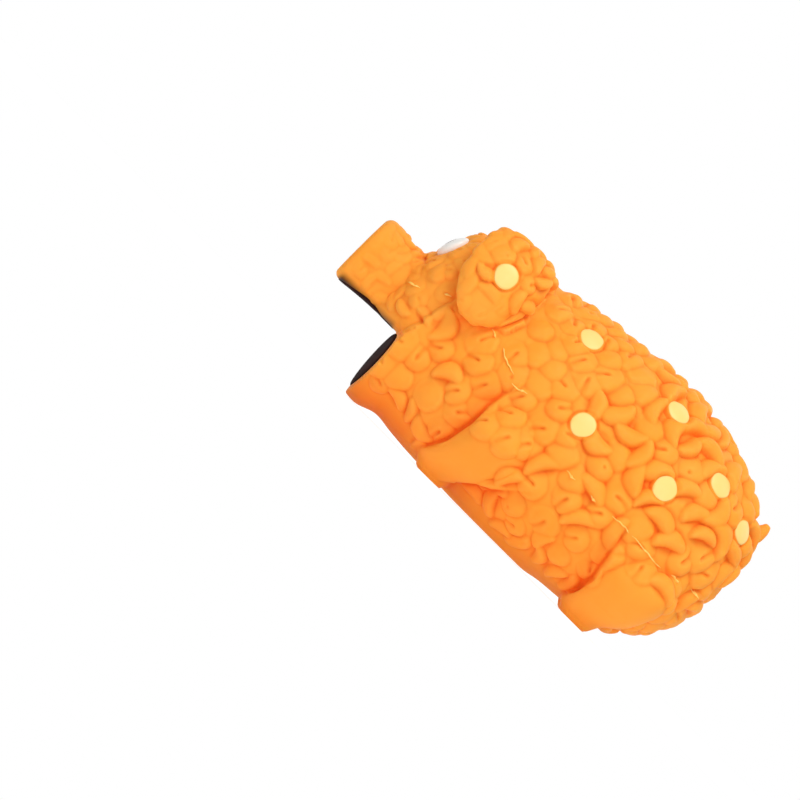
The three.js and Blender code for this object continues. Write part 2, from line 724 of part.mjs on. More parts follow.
sides.forEach(([label, side]) => {
  spotShares[label].forEach(([station, height], i) => {
    const place = trunkSpot(side, station, height * trunkHeight);
    paint.add(piece(`spot_${label}_${i + 1}`, geometryOf(spotOn(place, spotRadius)), spotPaint));
  });
  const earSpotHeight = earHeight - earSpotShare * earDrop;
  const earUnderPaint = solidOf(earGeometry(side, fitGap));
  const earFilm = solidOf(earGeometry(side, fitGap + paintThickness)).subtract(earUnderPaint);
  const earRod = rod(new THREE.Vector3(side * earSpread, earY, earSpotHeight),
    new THREE.Vector3(1, 0, 0), earSpotRadius, 2 * earThickness, spotSides);
  const earSpot = earFilm.intersect(earRod);
  const outer = earSpot.decompose().reduce((a, b) => (side * centreX(b) > side * centreX(a) ? b : a));
  paint.add(piece(`spot_ear_${label}`, geometryOf(outer), spotPaint));
});

function centreX(solid) {
  const box = solid.boundingBox();
  return (box.min[0] + box.max[0]) / 2;
}

// Eyes: a white bulge on the forehead with a black pupil
function eyePlace(side) {
  const ring = faceRing(eyeStationShare);
  const outShare = Math.min(eyeSpread / ring.side.x, 1);
  const z = ring.centre.z + ring.up.z * (1 - outShare ** facePower) ** (1 / facePower);
  const browTop = (share) => faceRing(share).centre.z + faceRing(share).up.z;
  const nudgeShare = 0.03;
  const drop = browTop(eyeStationShare - nudgeShare) - browTop(eyeStationShare + nudgeShare);
  const slope = drop / (2 * nudgeShare * faceLength);
  const normal = new THREE.Vector3(side * eyeTurn, -slope, 1).normalize();
  return { point: new THREE.Vector3(side * eyeSpread, ring.centre.y, z), normal };
}

sides.forEach(([label, side]) => {
  const { point, normal } = eyePlace(side);
  const turn = new THREE.Quaternion().setFromUnitVectors(new THREE.Vector3(0, 1, 0), normal);
  const place = new THREE.Matrix4().makeRotationFromQuaternion(turn).setPosition(point);
  const bulge = (growth) => {
    const ball = new THREE.SphereGeometry(1, eyeSides, eyeSides / 2);
    ball.scale(eyeRadius + growth, eyeBulge + growth, eyeRadius + growth);
    return solidOf(ball.applyMatrix4(place));
  };
  const white = bulge(0).subtract(around);
  const tip = point.clone().addScaledVector(normal, eyeBulge);
  const front = rod(tip, normal, pupilRadius, 2 * eyeBulge, spotSides);
  const pupil = bulge(fitGap + paintThickness).subtract(bulge(fitGap)).subtract(around).intersect(front);
  paint.add(piece(`eye_${label}`, geometryOf(largestBody(white)), eyePaint));
  paint.add(piece(`pupil_${label}`, geometryOf(largestBody(pupil)), darkPaint));
  const well = nostril(side, nostrilRadius - fitGap, snoutTipY + nostrilDepth - fitGap - paintThickness,
    snoutTipY + nostrilDepth - fitGap);
  paint.add(piece(`nostril_${label}`, geometryOf(well), darkPaint));
});

// Stuffing
const filling = new THREE.Group();
toy.add(filling);

const well = squeakerRod(wellRadius, -overrun, trunkHeight + overrun);
const collarRoom = squeakerRod(collarRadius + fitGap, -overrun, collarHeight + fitGap);
const bodyStuffing = stuffing.subtract(well).subtract(collarRoom).intersect(behind(neckY + fitGap));
const headStuffing = stuffing
  .intersect(ahead(neckY - fitGap))
  .intersect(behind(snoutTipY + nostrilDepth + skinWall + fitGap));
const backWad = stuffing.intersect(squeakerRod(wellRadius - fitGap, capTop + fitGap, trunkHeight + overrun));
filling.add(piece('body_stuffing', geometryOf(largestBody(bodyStuffing)), fibre));
filling.add(piece('head_stuffing', geometryOf(largestBody(headStuffing)), fibre));
filling.add(piece('back_wad', geometryOf(largestBody(backWad)), fibre));

// Squeaker, turned about its own upright axis
const squeaker = new THREE.Group();
squeaker.position.set(0, squeakerY, 0);
squeaker.rotation.set(Math.PI / 2, 0, 0);
toy.add(squeaker);

function turned(outline) {
  const points = outline.map(([radius, height]) => new THREE.Vector2(radius, height));
  return new THREE.LatheGeometry(points, turnedSides);
}

// The base: flange outside, neck through the collar, plate inside, and a socket for the reed holder
const socketRadius = reedHolderRadius + fitGap;
const socketTop = plateTop + reedHolderLength * socketDepthShare;
squeaker.add(piece('squeaker_base', turned([
  [ventRadius, flangeLift],
  [flangeRadius, flangeLift],
  [flangeRadius, flangeTop],
  [plugRadius, flangeTop],
  [plugRadius, plateBottom],
  [plateRadius, plateBottom],
  [plateRadius, plateTop],
  [socketRadius + socketWall, plateTop],
  [socketRadius + socketWall, socketTop],
  [socketRadius, socketTop],
  [socketRadius, flangeTop + flangeThickness],
  [ventRadius, flangeTop + flangeThickness],
  [ventRadius, flangeLift],
]), squeakerPlastic));

// The bellows: a thin folded wall, open at both ends
const foldLine = (offset) => {
  const points = [];
  for (let i = 0; i <= 2 * bellowsFolds; i += 1) {
    const radius = bellowsRadius - (i % 2 ? bellowsFold : 0) - offset;
    points.push([radius, bellowsBottom + (i * bellowsHeight) / (2 * bellowsFolds)]);
  }
  return points;
};
const bellowsOutline = [...foldLine(0), ...foldLine(bellowsWall).reverse()];
squeaker.add(piece('squeaker_bellows', turned([...bellowsOutline, bellowsOutline[0]]), bellowsPlastic));

const capRim = capThickness / 2;
squeaker.add(piece('squeaker_cap', turned([
  [0, capBottom],
  [bellowsRadius - bellowsWall - bellowsFold, capBottom],
  [bellowsRadius, capBottom],
  [bellowsRadius, capTop - capRim],
  [bellowsRadius - capRim, capTop],
  [0, capTop],
]), squeakerPlastic));

// The reed holder: a tube whose bore is half filled by a wedge that pinches the reed's root
const holderBottom = flangeTop + flangeThickness + fitGap;
const holderTop = holderBottom + reedHolderLength;
squeaker.add(piece('reed_holder', turned([
  [reedBoreRadius, holderBottom],
  [reedHolderRadius, holderBottom],
  [reedHolderRadius, holderTop],
  [reedBoreRadius, holderTop],
  [reedBoreRadius, holderBottom],
]), squeakerPlastic));

// Half-round blocks each side of the reed's root
function halfRound(side, low, high) {
  const outline = new THREE.Shape();
  const radius = reedBoreRadius - fitGap;
  const cut = reedThickness / 2 + fitGap;
  const start = Math.asin(cut / radius);
  outline.absarc(0, 0, radius, start, Math.PI - start, false);
  outline.closePath();
  const drawn = { depth: high - low, bevelEnabled: false, curveSegments: turnedSides / 2 };
  const geometry = new THREE.ExtrudeGeometry(outline, drawn);
  const lump = piece(side > 0 ? 'reed_wedge_front' : 'reed_wedge_back', geometry, squeakerPlastic);
  lump.rotation.set(-Math.PI / 2, 0, side > 0 ? 0 : Math.PI);
  lump.position.set(0, low, 0);
  return lump;
}
squeaker.add(halfRound(1, holderBottom, holderBottom + wedgeLength));
squeaker.add(halfRound(-1, holderBottom, holderBottom + wedgeLength));

const reed = piece('reed', new THREE.BoxGeometry(reedWidth, reedLength, reedThickness), reedFilm);
reed.position.set(0, holderBottom + reedLength / 2, 0);
squeaker.add(reed);

export default toy;
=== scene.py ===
# %% [markdown]
# A squeaky dog toy in Blender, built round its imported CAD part.
# The real toy is a little pig moulded in soft latex, with a curly coat, painted spots, a mouth that stands
# open and a bellows squeaker in its stuffing. The CAD part says where everything sits and what moves. This
# lesson gives every piece its looks, in the same frame: metres, +Z up, the face towards -Y, the left side +X.
# %% Load the frame
import math
from collections import namedtuple

import bpy
import numpy as np
from mathutils import Matrix, Vector
from mathutils import noise as lump_noise
from mathutils.bvhtree import BVHTree
from mathutils.kdtree import KDTree


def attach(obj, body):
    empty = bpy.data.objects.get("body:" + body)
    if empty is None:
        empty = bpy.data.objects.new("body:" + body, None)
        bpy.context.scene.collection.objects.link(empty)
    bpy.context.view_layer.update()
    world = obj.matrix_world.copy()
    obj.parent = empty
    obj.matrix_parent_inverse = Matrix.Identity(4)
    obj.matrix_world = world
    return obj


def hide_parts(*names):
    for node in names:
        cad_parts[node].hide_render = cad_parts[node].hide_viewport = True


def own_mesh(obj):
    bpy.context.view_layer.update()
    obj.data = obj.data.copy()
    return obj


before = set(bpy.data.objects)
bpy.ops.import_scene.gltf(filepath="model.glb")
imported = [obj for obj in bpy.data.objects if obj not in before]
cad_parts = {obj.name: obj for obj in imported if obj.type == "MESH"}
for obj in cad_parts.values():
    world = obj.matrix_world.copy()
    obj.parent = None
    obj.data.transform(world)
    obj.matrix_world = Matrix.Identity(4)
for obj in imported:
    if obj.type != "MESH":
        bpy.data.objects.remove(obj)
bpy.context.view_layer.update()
MM = 0.001

# %% [markdown]
# The camera comes first, because it says how much detail will be seen. The toy was photographed square on to
# its left side, leaning nose up by 45 degrees. A camera that rolls by 45 degrees shows the same picture while
# the toy stands on its feet, which is how the rest of its life is spent.
# %% Camera
PHOTO_LEAN = math.radians(45)
PHOTO_SPAN = 259.6 * MM  # what the picture shows across, at the toy's middle plane
PHOTO_MIDDLE = Vector((0, -35.6, 11.4)) * MM  # the point of that plane in the middle of the picture
CAMERA_DISTANCE = 2.4
SENSOR = 36.0
right = Vector((0, math.cos(PHOTO_LEAN), math.sin(PHOTO_LEAN)))
up = Vector((0, -math.sin(PHOTO_LEAN), math.cos(PHOTO_LEAN)))
to_camera = right.cross(up)
camera = bpy.data.objects.new("camera", bpy.data.cameras.new("camera"))
camera.data.sensor_width = SENSOR
camera.data.lens = SENSOR * CAMERA_DISTANCE / PHOTO_SPAN
camera.data.clip_start = 0.05
bpy.context.collection.objects.link(camera)
turn = Matrix((right, up, to_camera)).transposed()
camera.matrix_world = Matrix.Translation(PHOTO_MIDDLE + to_camera * CAMERA_DISTANCE) @ turn.to_4x4()
bpy.context.scene.camera = camera
print("lens in mm:", round(camera.data.lens, 1))

# %% [markdown]
# Materials are node trees. Each finish starts from the same few parts: a main colour that drifts a little,
# a roughness that drifts with it, and a fine bump. A small class builds those, so each finish only says what
# is its own. Colours are written as they look on a screen, and turned into light values here.
# %% Finishes: helpers
def light_value(colour):
    """A screen colour, three numbers from 0 to 1, as linear light with an alpha of 1."""
    return tuple(c / 12.92 if c <= 0.04045 else ((c + 0.055) / 1.055) ** 2.4 for c in colour) + (1.0,)


class Finish:
    """A node material with a principled shader, and short calls that add nodes to it."""

    def __init__(self, name, roughness):
        self.material = bpy.data.materials.new(name)
        self.material.use_nodes = True
        self.tree = self.material.node_tree
        self.shader = self.tree.nodes["Principled BSDF"]
        self.shader.inputs["Roughness"].default_value = roughness
        self.place = self.tree.nodes.new("ShaderNodeTexCoord").outputs["Object"]

    def link(self, value, socket):
        if isinstance(value, bpy.types.NodeSocket):
            self.tree.links.new(value, socket)
        else:
            socket.default_value = value

    def noise(self, size, detail=3.0, roughness=0.5):
        """Noise from 0 to 1 whose blotches are about size metres across."""
        node = self.tree.nodes.new("ShaderNodeTexNoise")
        self.link(self.place, node.inputs["Vector"])
        node.inputs["Scale"].default_value = 1 / size
        node.inputs["Detail"].default_value = detail
        node.inputs["Roughness"].default_value = roughness
        return node.outputs["Fac"]

    def attribute(self, name):
        node = self.tree.nodes.new("ShaderNodeAttribute")
        node.attribute_name = name
        return node.outputs["Fac"]

    def ranged(self, value, low, high, to_low=0.0, to_high=1.0):
        node = self.tree.nodes.new("ShaderNodeMapRange")
        self.link(value, node.inputs["Value"])
        for name, number in zip(("From Min", "From Max", "To Min", "To Max"), (low, high, to_low, to_high)):
            node.inputs[name].default_value = number
        return node.outputs["Result"]

    def mix(self, share, first, second):
        """A colour between two colours."""
        node = self.tree.nodes.new("ShaderNodeMix")
        node.data_type = "RGBA"
        self.link(share, node.inputs[0])
        self.link(first, node.inputs[6])
        self.link(second, node.inputs[7])
        return node.outputs[2]

    def bump(self, height, depth, strength):
        """Bumps that are depth metres high, on top of the bumps made before."""
        node = self.tree.nodes.new("ShaderNodeBump")
        node.inputs["Strength"].default_value = strength
        node.inputs["Distance"].default_value = depth
        self.link(height, node.inputs["Height"])
        before = self.shader.inputs["Normal"].links
        if before:
            self.link(before[0].from_socket, node.inputs["Normal"])
        self.link(node.outputs["Normal"], self.shader.inputs["Normal"])

    def set(self, **values):
        for name, value in values.items():
            self.link(value, self.shader.inputs[name.replace("_", " ")])


# %% [markdown]
# The skin's finish is matte latex. On the real toy light goes a little way in and comes out redder, which
# subsurface light does here. On top of that, shade and light are painted into the colour, from attributes
# that a later step measures on the mesh: creases turn a deep red orange as painted shade, by how deep each
# point lies in a crease, and rounded tops a warm pale orange as painted highlight, by how far they stand
# proud. Two fine noises make the dull, slightly pitted surface of the mould.
# %% Finish: latex
# The deep colour is painted shade in creases; the pale one is a latex tone and also painted highlight on tops
LATEX = light_value((1.0, 0.615, 0.195))
LATEX_SHADED = light_value((0.93, 0.385, 0.07))
LATEX_PALE = light_value((1.0, 0.69, 0.30))
SPRAY = light_value((0.10, 0.05, 0.035))
BLOTCH_SHARE, RIDGE_SHARE, CREASE_SHARE = 0.3, 0.5, 0.95  # how far each of them moves the colour
BLOTCH_SIZE, DULLNESS_SIZE, PIT_SIZE, GRAIN_SIZE = 22 * MM, 4 * MM, 2.6 * MM, 0.5 * MM
PIT_DEPTH, GRAIN_DEPTH = 0.12 * MM, 0.03 * MM
LIGHT_SHARE, LIGHT_REACH = 0.25, 1.4 * MM  # how much light goes into the latex, and how far

latex = Finish("latex", 0.5)
blotch = latex.ranged(latex.noise(BLOTCH_SIZE, 2.0), 0.3, 0.7, 0.0, BLOTCH_SHARE)
# Painted light: tops mix towards the pale colour as painted highlight, creases towards the deep one as
# painted shade
ridge_share = latex.ranged(latex.attribute("ridge_highlight"), 0.0, 1.0, 0.0, RIDGE_SHARE)
crease_share = latex.ranged(latex.attribute("crease_shade"), 0.0, 1.0, 0.0, CREASE_SHARE)
latex_colour = latex.mix(blotch, LATEX, LATEX_PALE)
latex_colour = latex.mix(ridge_share, latex_colour, LATEX_PALE)
latex_colour = latex.mix(crease_share, latex_colour, LATEX_SHADED)
latex_colour = latex.mix(latex.attribute("spray"), latex_colour, SPRAY)
latex.set(Base_Color=latex_colour, Roughness=latex.ranged(latex.noise(DULLNESS_SIZE), 0.2, 0.8, 0.52, 0.66))
latex.set(Subsurface_Weight=LIGHT_SHARE, Subsurface_Scale=LIGHT_REACH)
latex.shader.inputs["Subsurface Radius"].default_value = (1.0, 0.3, 0.1)
latex.shader.inputs["Specular IOR Level"].default_value = 0.1
latex.bump(latex.noise(PIT_SIZE, 2.0), PIT_DEPTH, 0.5)
latex.bump(latex.noise(GRAIN_SIZE, 3.0), GRAIN_DEPTH, 0.5)
print("latex nodes:", len(latex.tree.nodes))

# %% [markdown]
# The other finishes are quicker. The paints are thin, even films, so they only need a hint of brush drift.
# The squeaker's plastics are glossier, with the faint cloudiness of cheap mouldings. One function makes them
# all from two near colours.
# %% Finishes: paints, plastics and the reed
FILM_BLOTCH, FILM_DULLNESS, FILM_BUMP, FILM_BUMP_DEPTH = 5 * MM, 1.5 * MM, 1.2 * MM, 0.04 * MM


def film(name, colour, tint, roughness):
    """Paint or plastic: two near colours in soft blotches, with fine unevenness."""
    made = Finish(name, roughness)
    share = made.ranged(made.noise(FILM_BLOTCH, 3.0), 0.3, 0.7)
    made.set(Base_Color=made.mix(share, light_value(colour), light_value(tint)))
    dullness = made.ranged(made.noise(FILM_DULLNESS), 0.2, 0.8, roughness - 0.06, roughness + 0.06)
    made.set(Roughness=dullness)
    made.bump(made.noise(FILM_BUMP, 3.0), FILM_BUMP_DEPTH, 0.5)
    return made


spot_paint = film("spot_paint", (0.97, 0.835, 0.49), (0.965, 0.82, 0.45), 0.45)
dark_paint = film("dark_paint", (0.13, 0.055, 0.045), (0.20, 0.085, 0.065), 0.75)
dark_paint.shader.inputs["Specular IOR Level"].default_value = 0.04
eye_paint = film("eye_paint", (0.955, 0.95, 0.93), (0.935, 0.93, 0.91), 0.32)
squeaker_plastic = film("squeaker_plastic", (0.90, 0.91, 0.92), (0.86, 0.88, 0.895), 0.3)
bellows_plastic = film("bellows_plastic", (0.83, 0.865, 0.885), (0.78, 0.82, 0.85), 0.4)
bellows_plastic.set(Subsurface_Weight=0.25, Subsurface_Scale=2 * MM)
reed_metal = film("reed_metal", (0.83, 0.68, 0.36), (0.76, 0.60, 0.30), 0.3)
reed_metal.set(Metallic=0.9)
flash_latex = film("flash_latex", (1.0, 0.86, 0.46), (1.0, 0.80, 0.36), 0.5)

# %% [markdown]
# The stuffing is a tangle of fine white polyester threads. A wave texture with so much distortion that its
# bands curl round each other looks like that, and the same bands make the bumps.
# %% Finish: fibre
THREADS_PER_METRE, TANGLE, THREAD_DETAIL = 500, 14, 4
THREAD_GREY, THREAD_WHITE = light_value((0.80, 0.79, 0.76)), light_value((0.97, 0.965, 0.95))

fibre = Finish("fibre", 0.9)
strands = fibre.tree.nodes.new("ShaderNodeTexWave")
strands.inputs["Scale"].default_value = THREADS_PER_METRE
strands.inputs["Distortion"].default_value = TANGLE
strands.inputs["Detail"].default_value = THREAD_DETAIL
fibre.link(fibre.place, strands.inputs["Vector"])
fibre.set(Base_Color=fibre.mix(strands.outputs["Fac"], THREAD_GREY, THREAD_WHITE))
fibre.set(Sheen_Weight=0.3, Sheen_Roughness=0.4)
fibre.bump(strands.outputs["Fac"], 0.3 * MM, 0.7)
print("finishes made:", [m.name for m in bpy.data.materials if m.use_nodes])

# %% [markdown]
# The studio is plain and soft. Its white background comes from the world's colour for rays that come straight
# from the camera, so it adds nothing to the toy, and what lights the toy is a weaker, even glow all round.
# Shiny and clear surfaces should meet the white too, so their rays count as the camera's do.
# %% Studio: the world
GLOW = 0.40


def seen_directly(tree):
    """1 for camera, glossy and transmission rays, which should meet the white background."""
    path = tree.nodes.new("ShaderNodeLightPath")
    total = path.outputs["Is Camera Ray"]
    for name in ("Is Glossy Ray", "Is Transmission Ray"):
        node = tree.nodes.new("ShaderNodeMath")
        node.operation = "MAXIMUM"
        tree.links.new(total, node.inputs[0])
        tree.links.new(path.outputs[name], node.inputs[1])
        total = node.outputs[0]
    return total


world = bpy.data.worlds.new("studio")
world.use_nodes = True
background = world.node_tree.nodes["Background"]
background.inputs["Color"].default_value = (1, 1, 1, 1)
strength = world.node_tree.nodes.new("ShaderNodeMapRange")
strength.inputs["To Min"].default_value = GLOW
world.node_tree.links.new(seen_directly(world.node_tree), strength.inputs["Value"])
world.node_tree.links.new(strength.outputs["Result"], background.inputs["Strength"])
bpy.context.scene.world = world
bpy.context.scene.view_settings.view_transform = "Standard"
print("glow all round:", GLOW)

# %% [markdown]
# Three soft square lamps shape the coat: the key lamp high over the toy's left side, a weaker one low beside
# it that opens the shadows, and one behind for the back and the right side. Together with the glow they keep
# a colour about as it is written. The camera doesn't see them.
# %% Studio: lamps
LAMP_TARGET = Vector((0, 0, 0.04))
# Name, place and size in metres, and power in watts
LAMPS = [
    ("key_lamp", (0.48, -0.02, 0.86), 0.4, 5.0),
    ("fill_lamp", (0.90, 0.30, 0.22), 0.5, 2.0),
    ("back_lamp", (-0.60, 0.35, 0.60), 0.8, 1.8),
]


def soft_lamp(name, place, size, power):
    """A square lamp that looks at the middle of the toy."""
    lamp = bpy.data.lights.new(name, "AREA")
    lamp.size = size
    lamp.energy = power
    holder = bpy.data.objects.new(name, lamp)
    bpy.context.collection.objects.link(holder)
    holder.location = place
    holder.rotation_euler = (LAMP_TARGET - Vector(place)).to_track_quat("-Z", "Y").to_euler()
    holder.visible_camera = False


for lamp_row in LAMPS:
    soft_lamp(*lamp_row)
print("lamps:", len(LAMPS))

# %% [markdown]
# The floor is a sheet of pale paper. It mixes white with its own shaded colour, so it melts into the
# background and still keeps the toy's shadow. For the light that reaches the toy, the white share is smaller:
# it stands for the light that a bright table throws up at a belly.
# %% Studio: the floor
FLOOR_HALF = 0.6
FLOOR_WHITE_SHARE, FLOOR_WHITE = 0.6, 1.3  # together with the floor's own shade, these sum to white
FLOOR_GLOW_SHARE = 0.24  # the part of that white which also lights the toy from below


def sheet(name, half):
    """A flat square in the ground plane."""
    mesh = bpy.data.meshes.new(name)
    corners = [(-half, -half, 0), (half, -half, 0), (half, half, 0), (-half, half, 0)]
    mesh.from_pydata(corners, [], [(0, 1, 2, 3)])
    made = bpy.data.objects.new(name, mesh)
    bpy.context.collection.objects.link(made)
    return made


floor = sheet("floor", FLOOR_HALF)
paper = Finish("paper", 0.9)
paper.set(Base_Color=light_value((0.965, 0.965, 0.965)))
own_light = paper.tree.nodes.new("ShaderNodeEmission")
own_light.inputs["Strength"].default_value = FLOOR_WHITE
both = paper.tree.nodes.new("ShaderNodeMixShader")
white_share = paper.ranged(seen_directly(paper.tree), 0.0, 1.0, FLOOR_GLOW_SHARE, FLOOR_WHITE_SHARE)
paper.link(white_share, both.inputs[0])
paper.link(paper.shader.outputs[0], both.inputs[1])
paper.link(own_light.outputs[0], both.inputs[2])
paper.link(both.outputs[0], paper.tree.nodes["Material Output"].inputs["Surface"])
floor.data.materials.append(paper.material)
print("floor:", 2 * FLOOR_HALF, "m square")

# %% [markdown]
# The toy's shape follows the part's own tables. A table row gives a section of the form: where it lies, how
# high and how wide it is. A smooth curve runs through the rows, so a few numbers give a round body.
# Everything here is in millimetres, as a maker thinks of a toy, and becomes metres when a mesh is made.
# %% Sizes and tables of the trunk and the face
# Millimetres, and the leans in radians
TRUNK_LENGTH, TRUNK_HEIGHT, TRUNK_HALF_WIDTH, GIRTH_HEIGHT = 133.5, 79.5, 36.6, 33.0
FACE_REACH, FACE_ROOT, CROWN_HEIGHT = 26.5, 12.0, 70.5
MOUTH_HEIGHT, SNOUT_HEIGHT, SNOUT_HALF_WIDTH = 25.0, 26.6, 16.5
MOUTH_ROUND, MOUTH_LEAN, CHEEK_LEAN = 95.0, 0.14, 0.2
RUMP_Y = (TRUNK_LENGTH + FACE_REACH) / 2
MOUTH_Y = RUMP_Y - TRUNK_LENGTH
SNOUT_TOP = MOUTH_HEIGHT + SNOUT_HEIGHT
SNOUT_TIP_Y = MOUTH_Y - FACE_REACH

# Station along the trunk, top and bottom in trunk heights, half width in trunk half widths
TRUNK_ROWS = [
    (-0.06, 0.820, 0.030, 0.670), (0, 0.851, 0.017, 0.688), (0.035, 0.884, 0.006, 0.723),
    (0.065, 0.906, 0.006, 0.726), (0.115, 0.918, 0.033, 0.720), (0.17, 0.922, 0.024, 0.774),
    (0.235, 0.931, 0.015, 0.849), (0.35, 0.963, 0.009, 0.930), (0.46, 0.985, 0.006, 0.978),
    (0.58, 1, 0.011, 1), (0.67, 0.996, 0.021, 0.995), (0.755, 0.970, 0.032, 0.957),
    (0.825, 0.938, 0.048, 0.892), (0.87, 0.906, 0.069, 0.823), (0.91, 0.864, 0.119, 0.726),
    (0.95, 0.816, 0.179, 0.599), (0.978, 0.765, 0.255, 0.445), (0.994, 0.702, 0.340, 0.274),
]
# Station along the face, top from snout to crown, bottom in snout heights, half width in snout half widths
FACE_ROWS = [
    (0, 1, 0.053, 1.45), (0.21, 0.974, 0.049, 1.43), (0.315, 0.868, 0.045, 1.37),
    (0.39, 0.677, 0.045, 1.25), (0.45, 0.392, 0.045, 1.10), (0.495, 0.127, 0.049, 0.96),
    (0.54, -0.042, 0.045, 0.86), (0.655, -0.085, 0.038, 0.83), (0.805, -0.048, 0.019, 0.90),
    (0.905, -0.006, 0.004, 0.985), (0.948, -0.02, 0.007, 0.985), (0.974, -0.055, 0.024, 0.95),
    (0.992, -0.115, 0.055, 0.89),
]
# How square a section is: 2 is an ellipse, and more is squarer
UPPER_POWER, LOWER_POWER = 2.15, 2.4
FACE_POWER, FACE_LOWER_POWER = 2.35, 6.0
print("from", SNOUT_TIP_Y, "to", RUMP_Y, "mm along Y")

# %% [markdown]
# Three helpers turn tables into forms. One reads a table on a smooth curve, one draws a section as a closed
# ring, and one joins rings into a closed mesh, as a loft does. They work on plain number arrays, which keeps
# them quick and easy to try out away from Blender.
# %% Curves, rings and lofts
def along(rows, share):
    """Every column of a table at a share along it, on a smooth curve through its rows."""
    rows = np.asarray(rows, float)
    last = len(rows) - 1
    i = int(np.clip(np.searchsorted(rows[:, 0], share) - 1, 0, last - 1))

    def slope(j):
        before, after = rows[max(j - 1, 0)], rows[min(j + 1, last)]
        return (after - before) / (after[0] - before[0])

    start, end = rows[i], rows[i + 1]
    span = end[0] - start[0]
    t = (share - start[0]) / span
    rise = end - start
    bend_start, bend_end = slope(i) * span - rise, rise - slope(i + 1) * span
    return start + t * rise + t * (1 - t) * ((1 - t) * bend_start + t * bend_end)


def section(centre, side, over, under, powers, count=96):
    """A closed ring whose halves above and below its middle have their own squareness."""
    angle = np.linspace(0, 2 * np.pi, count, endpoint=False)
    c, s = np.cos(angle), np.sin(angle)
    power = np.where(s >= 0, *powers)
    across = np.sign(c) * np.abs(c) ** (2 / power)
    rise = np.sign(s) * np.abs(s) ** (2 / power)
    vertical = np.where((s >= 0)[:, None], over, under)
    return np.asarray(centre) + across[:, None] * np.asarray(side) + rise[:, None] * vertical


def loft(rings):
    """Points and faces of a closed form through rings of the same count."""
    rings = np.asarray(rings)
    count, sides = rings.shape[:2]
    points = np.vstack([rings.reshape(-1, 3), rings[0].mean(0), rings[-1].mean(0)])
    k = np.arange(sides)
    following = (k + 1) % sides
    faces = []
    for r in range(count - 1):
        near, far = r * sides, (r + 1) * sides
        faces += np.stack([near + k, near + following, far + following, far + k], 1).tolist()
    first_pole, last_pole = count * sides, count * sides + 1
    faces += [(first_pole, b, a) for a, b in zip(k.tolist(), following.tolist())]
    base = (count - 1) * sides
    faces += [(last_pole, base + a, base + b) for a, b in zip(k.tolist(), following.tolist())]
    return points, faces


def station_y(share):
    """Where a station of the trunk lies along Y."""
    return MOUTH_Y + share * TRUNK_LENGTH


def trunk_section(share):
    """Centre, half width, reach up and reach down of the trunk."""
    _, top, bottom, width = along(TRUNK_ROWS, share)
    top, bottom = top * TRUNK_HEIGHT, bottom * TRUNK_HEIGHT
    middle = bottom + (top - bottom) * GIRTH_HEIGHT / TRUNK_HEIGHT
    return np.array([0, station_y(share), middle]), width * TRUNK_HALF_WIDTH, top - middle, middle - bottom


def face_section(share):
    """Centre, half width and half height of the face."""
    _, top, bottom, width = along(FACE_ROWS, share)
    top = SNOUT_TOP + top * (CROWN_HEIGHT - SNOUT_TOP)
    bottom = MOUTH_HEIGHT + bottom * SNOUT_HEIGHT
    centre = np.array([0, MOUTH_Y + FACE_ROOT - share * (FACE_ROOT + FACE_REACH), (top + bottom) / 2])
    return centre, width * SNOUT_HALF_WIDTH, (top - bottom) / 2


print("trunk at the girth:", [np.round(v, 1).tolist() for v in trunk_section(0.58)])

# %% [markdown]
# The trunk is a barrel, closed at the rump by shrinking rings. In front it ends on the wall of the open
# mouth, which bulges forward and leans: back towards the chin below the mouth's roof, and back along the
# cheeks above it. The rings in front of that wall are simply pushed back onto it.
# %% Trunk
FIRST_STATION, LAST_STATION = TRUNK_ROWS[0][0], TRUNK_ROWS[-1][0]
RUMP_RINGS = (0.85, 0.7, 0.5, 0.3, 0.1)  # the closing rings' sizes, in sizes of the last section


def wall_y(x, z):
    """How far forward the wall of the mouth and the cheeks reaches."""
    bulge = MOUTH_ROUND - np.sqrt(np.maximum(MOUTH_ROUND**2 - x**2, 0))
    jaw = (bulge - (z - MOUTH_HEIGHT) * math.sin(MOUTH_LEAN)) / math.cos(MOUTH_LEAN)
    cheek = (bulge + (z - MOUTH_HEIGHT) * math.sin(CHEEK_LEAN)) / math.cos(CHEEK_LEAN)
    return MOUTH_Y + np.maximum(jaw, cheek)


def trunk_ring(share, scale=1.0, y=None):
    """A section of the trunk as a ring, in its own size or scaled, and moved to y if that is given."""
    centre, width, over, under = trunk_section(share)
    centre[1] = centre[1] if y is None else y
    reach = scale * np.array([[width, 0, 0], [0, 0, over], [0, 0, under]])
    return section(centre, *reach, (UPPER_POWER, LOWER_POWER), 128)


# The sections lie closer together where the rump begins to close
stations = np.concatenate([np.linspace(FIRST_STATION, 0.9, 110), np.linspace(0.905, LAST_STATION, 26)])
rump_depth = RUMP_Y - station_y(LAST_STATION)
trunk_rings = [trunk_ring(s) for s in stations]
trunk_rings += [trunk_ring(LAST_STATION, f, RUMP_Y - rump_depth * f**2) for f in RUMP_RINGS]
trunk_points, trunk_faces = loft(trunk_rings)
walls = wall_y(trunk_points[:, 0], trunk_points[:, 2])
trunk_points[:, 1] = np.maximum(trunk_points[:, 1], walls)
print("trunk:", len(trunk_points), "points")

# %% [markdown]
# The face is a second form that grows out of the wall: a forehead that drops into a round snout with a nearly
# flat underside. The snout's end is flat on the real toy too, with only a hint of a bulge.
# %% Face
SNOUT_BULGE = 0.3  # how far the snout's flat end stands proud in the middle
SNOUT_RINGS = (0.93, 0.8, 0.6, 0.4, 0.2)  # the closing rings' sizes, in sizes of the last section
LAST_FACE = FACE_ROWS[-1][0]


def face_ring(share, scale=1.0, y=None):
    """The same for the face."""
    centre, width, half = face_section(share)
    centre[1] = centre[1] if y is None else y
    reach = scale * np.array([[width, 0, 0], [0, 0, half], [0, 0, half]])
    return section(centre, *reach, (FACE_POWER, FACE_LOWER_POWER))


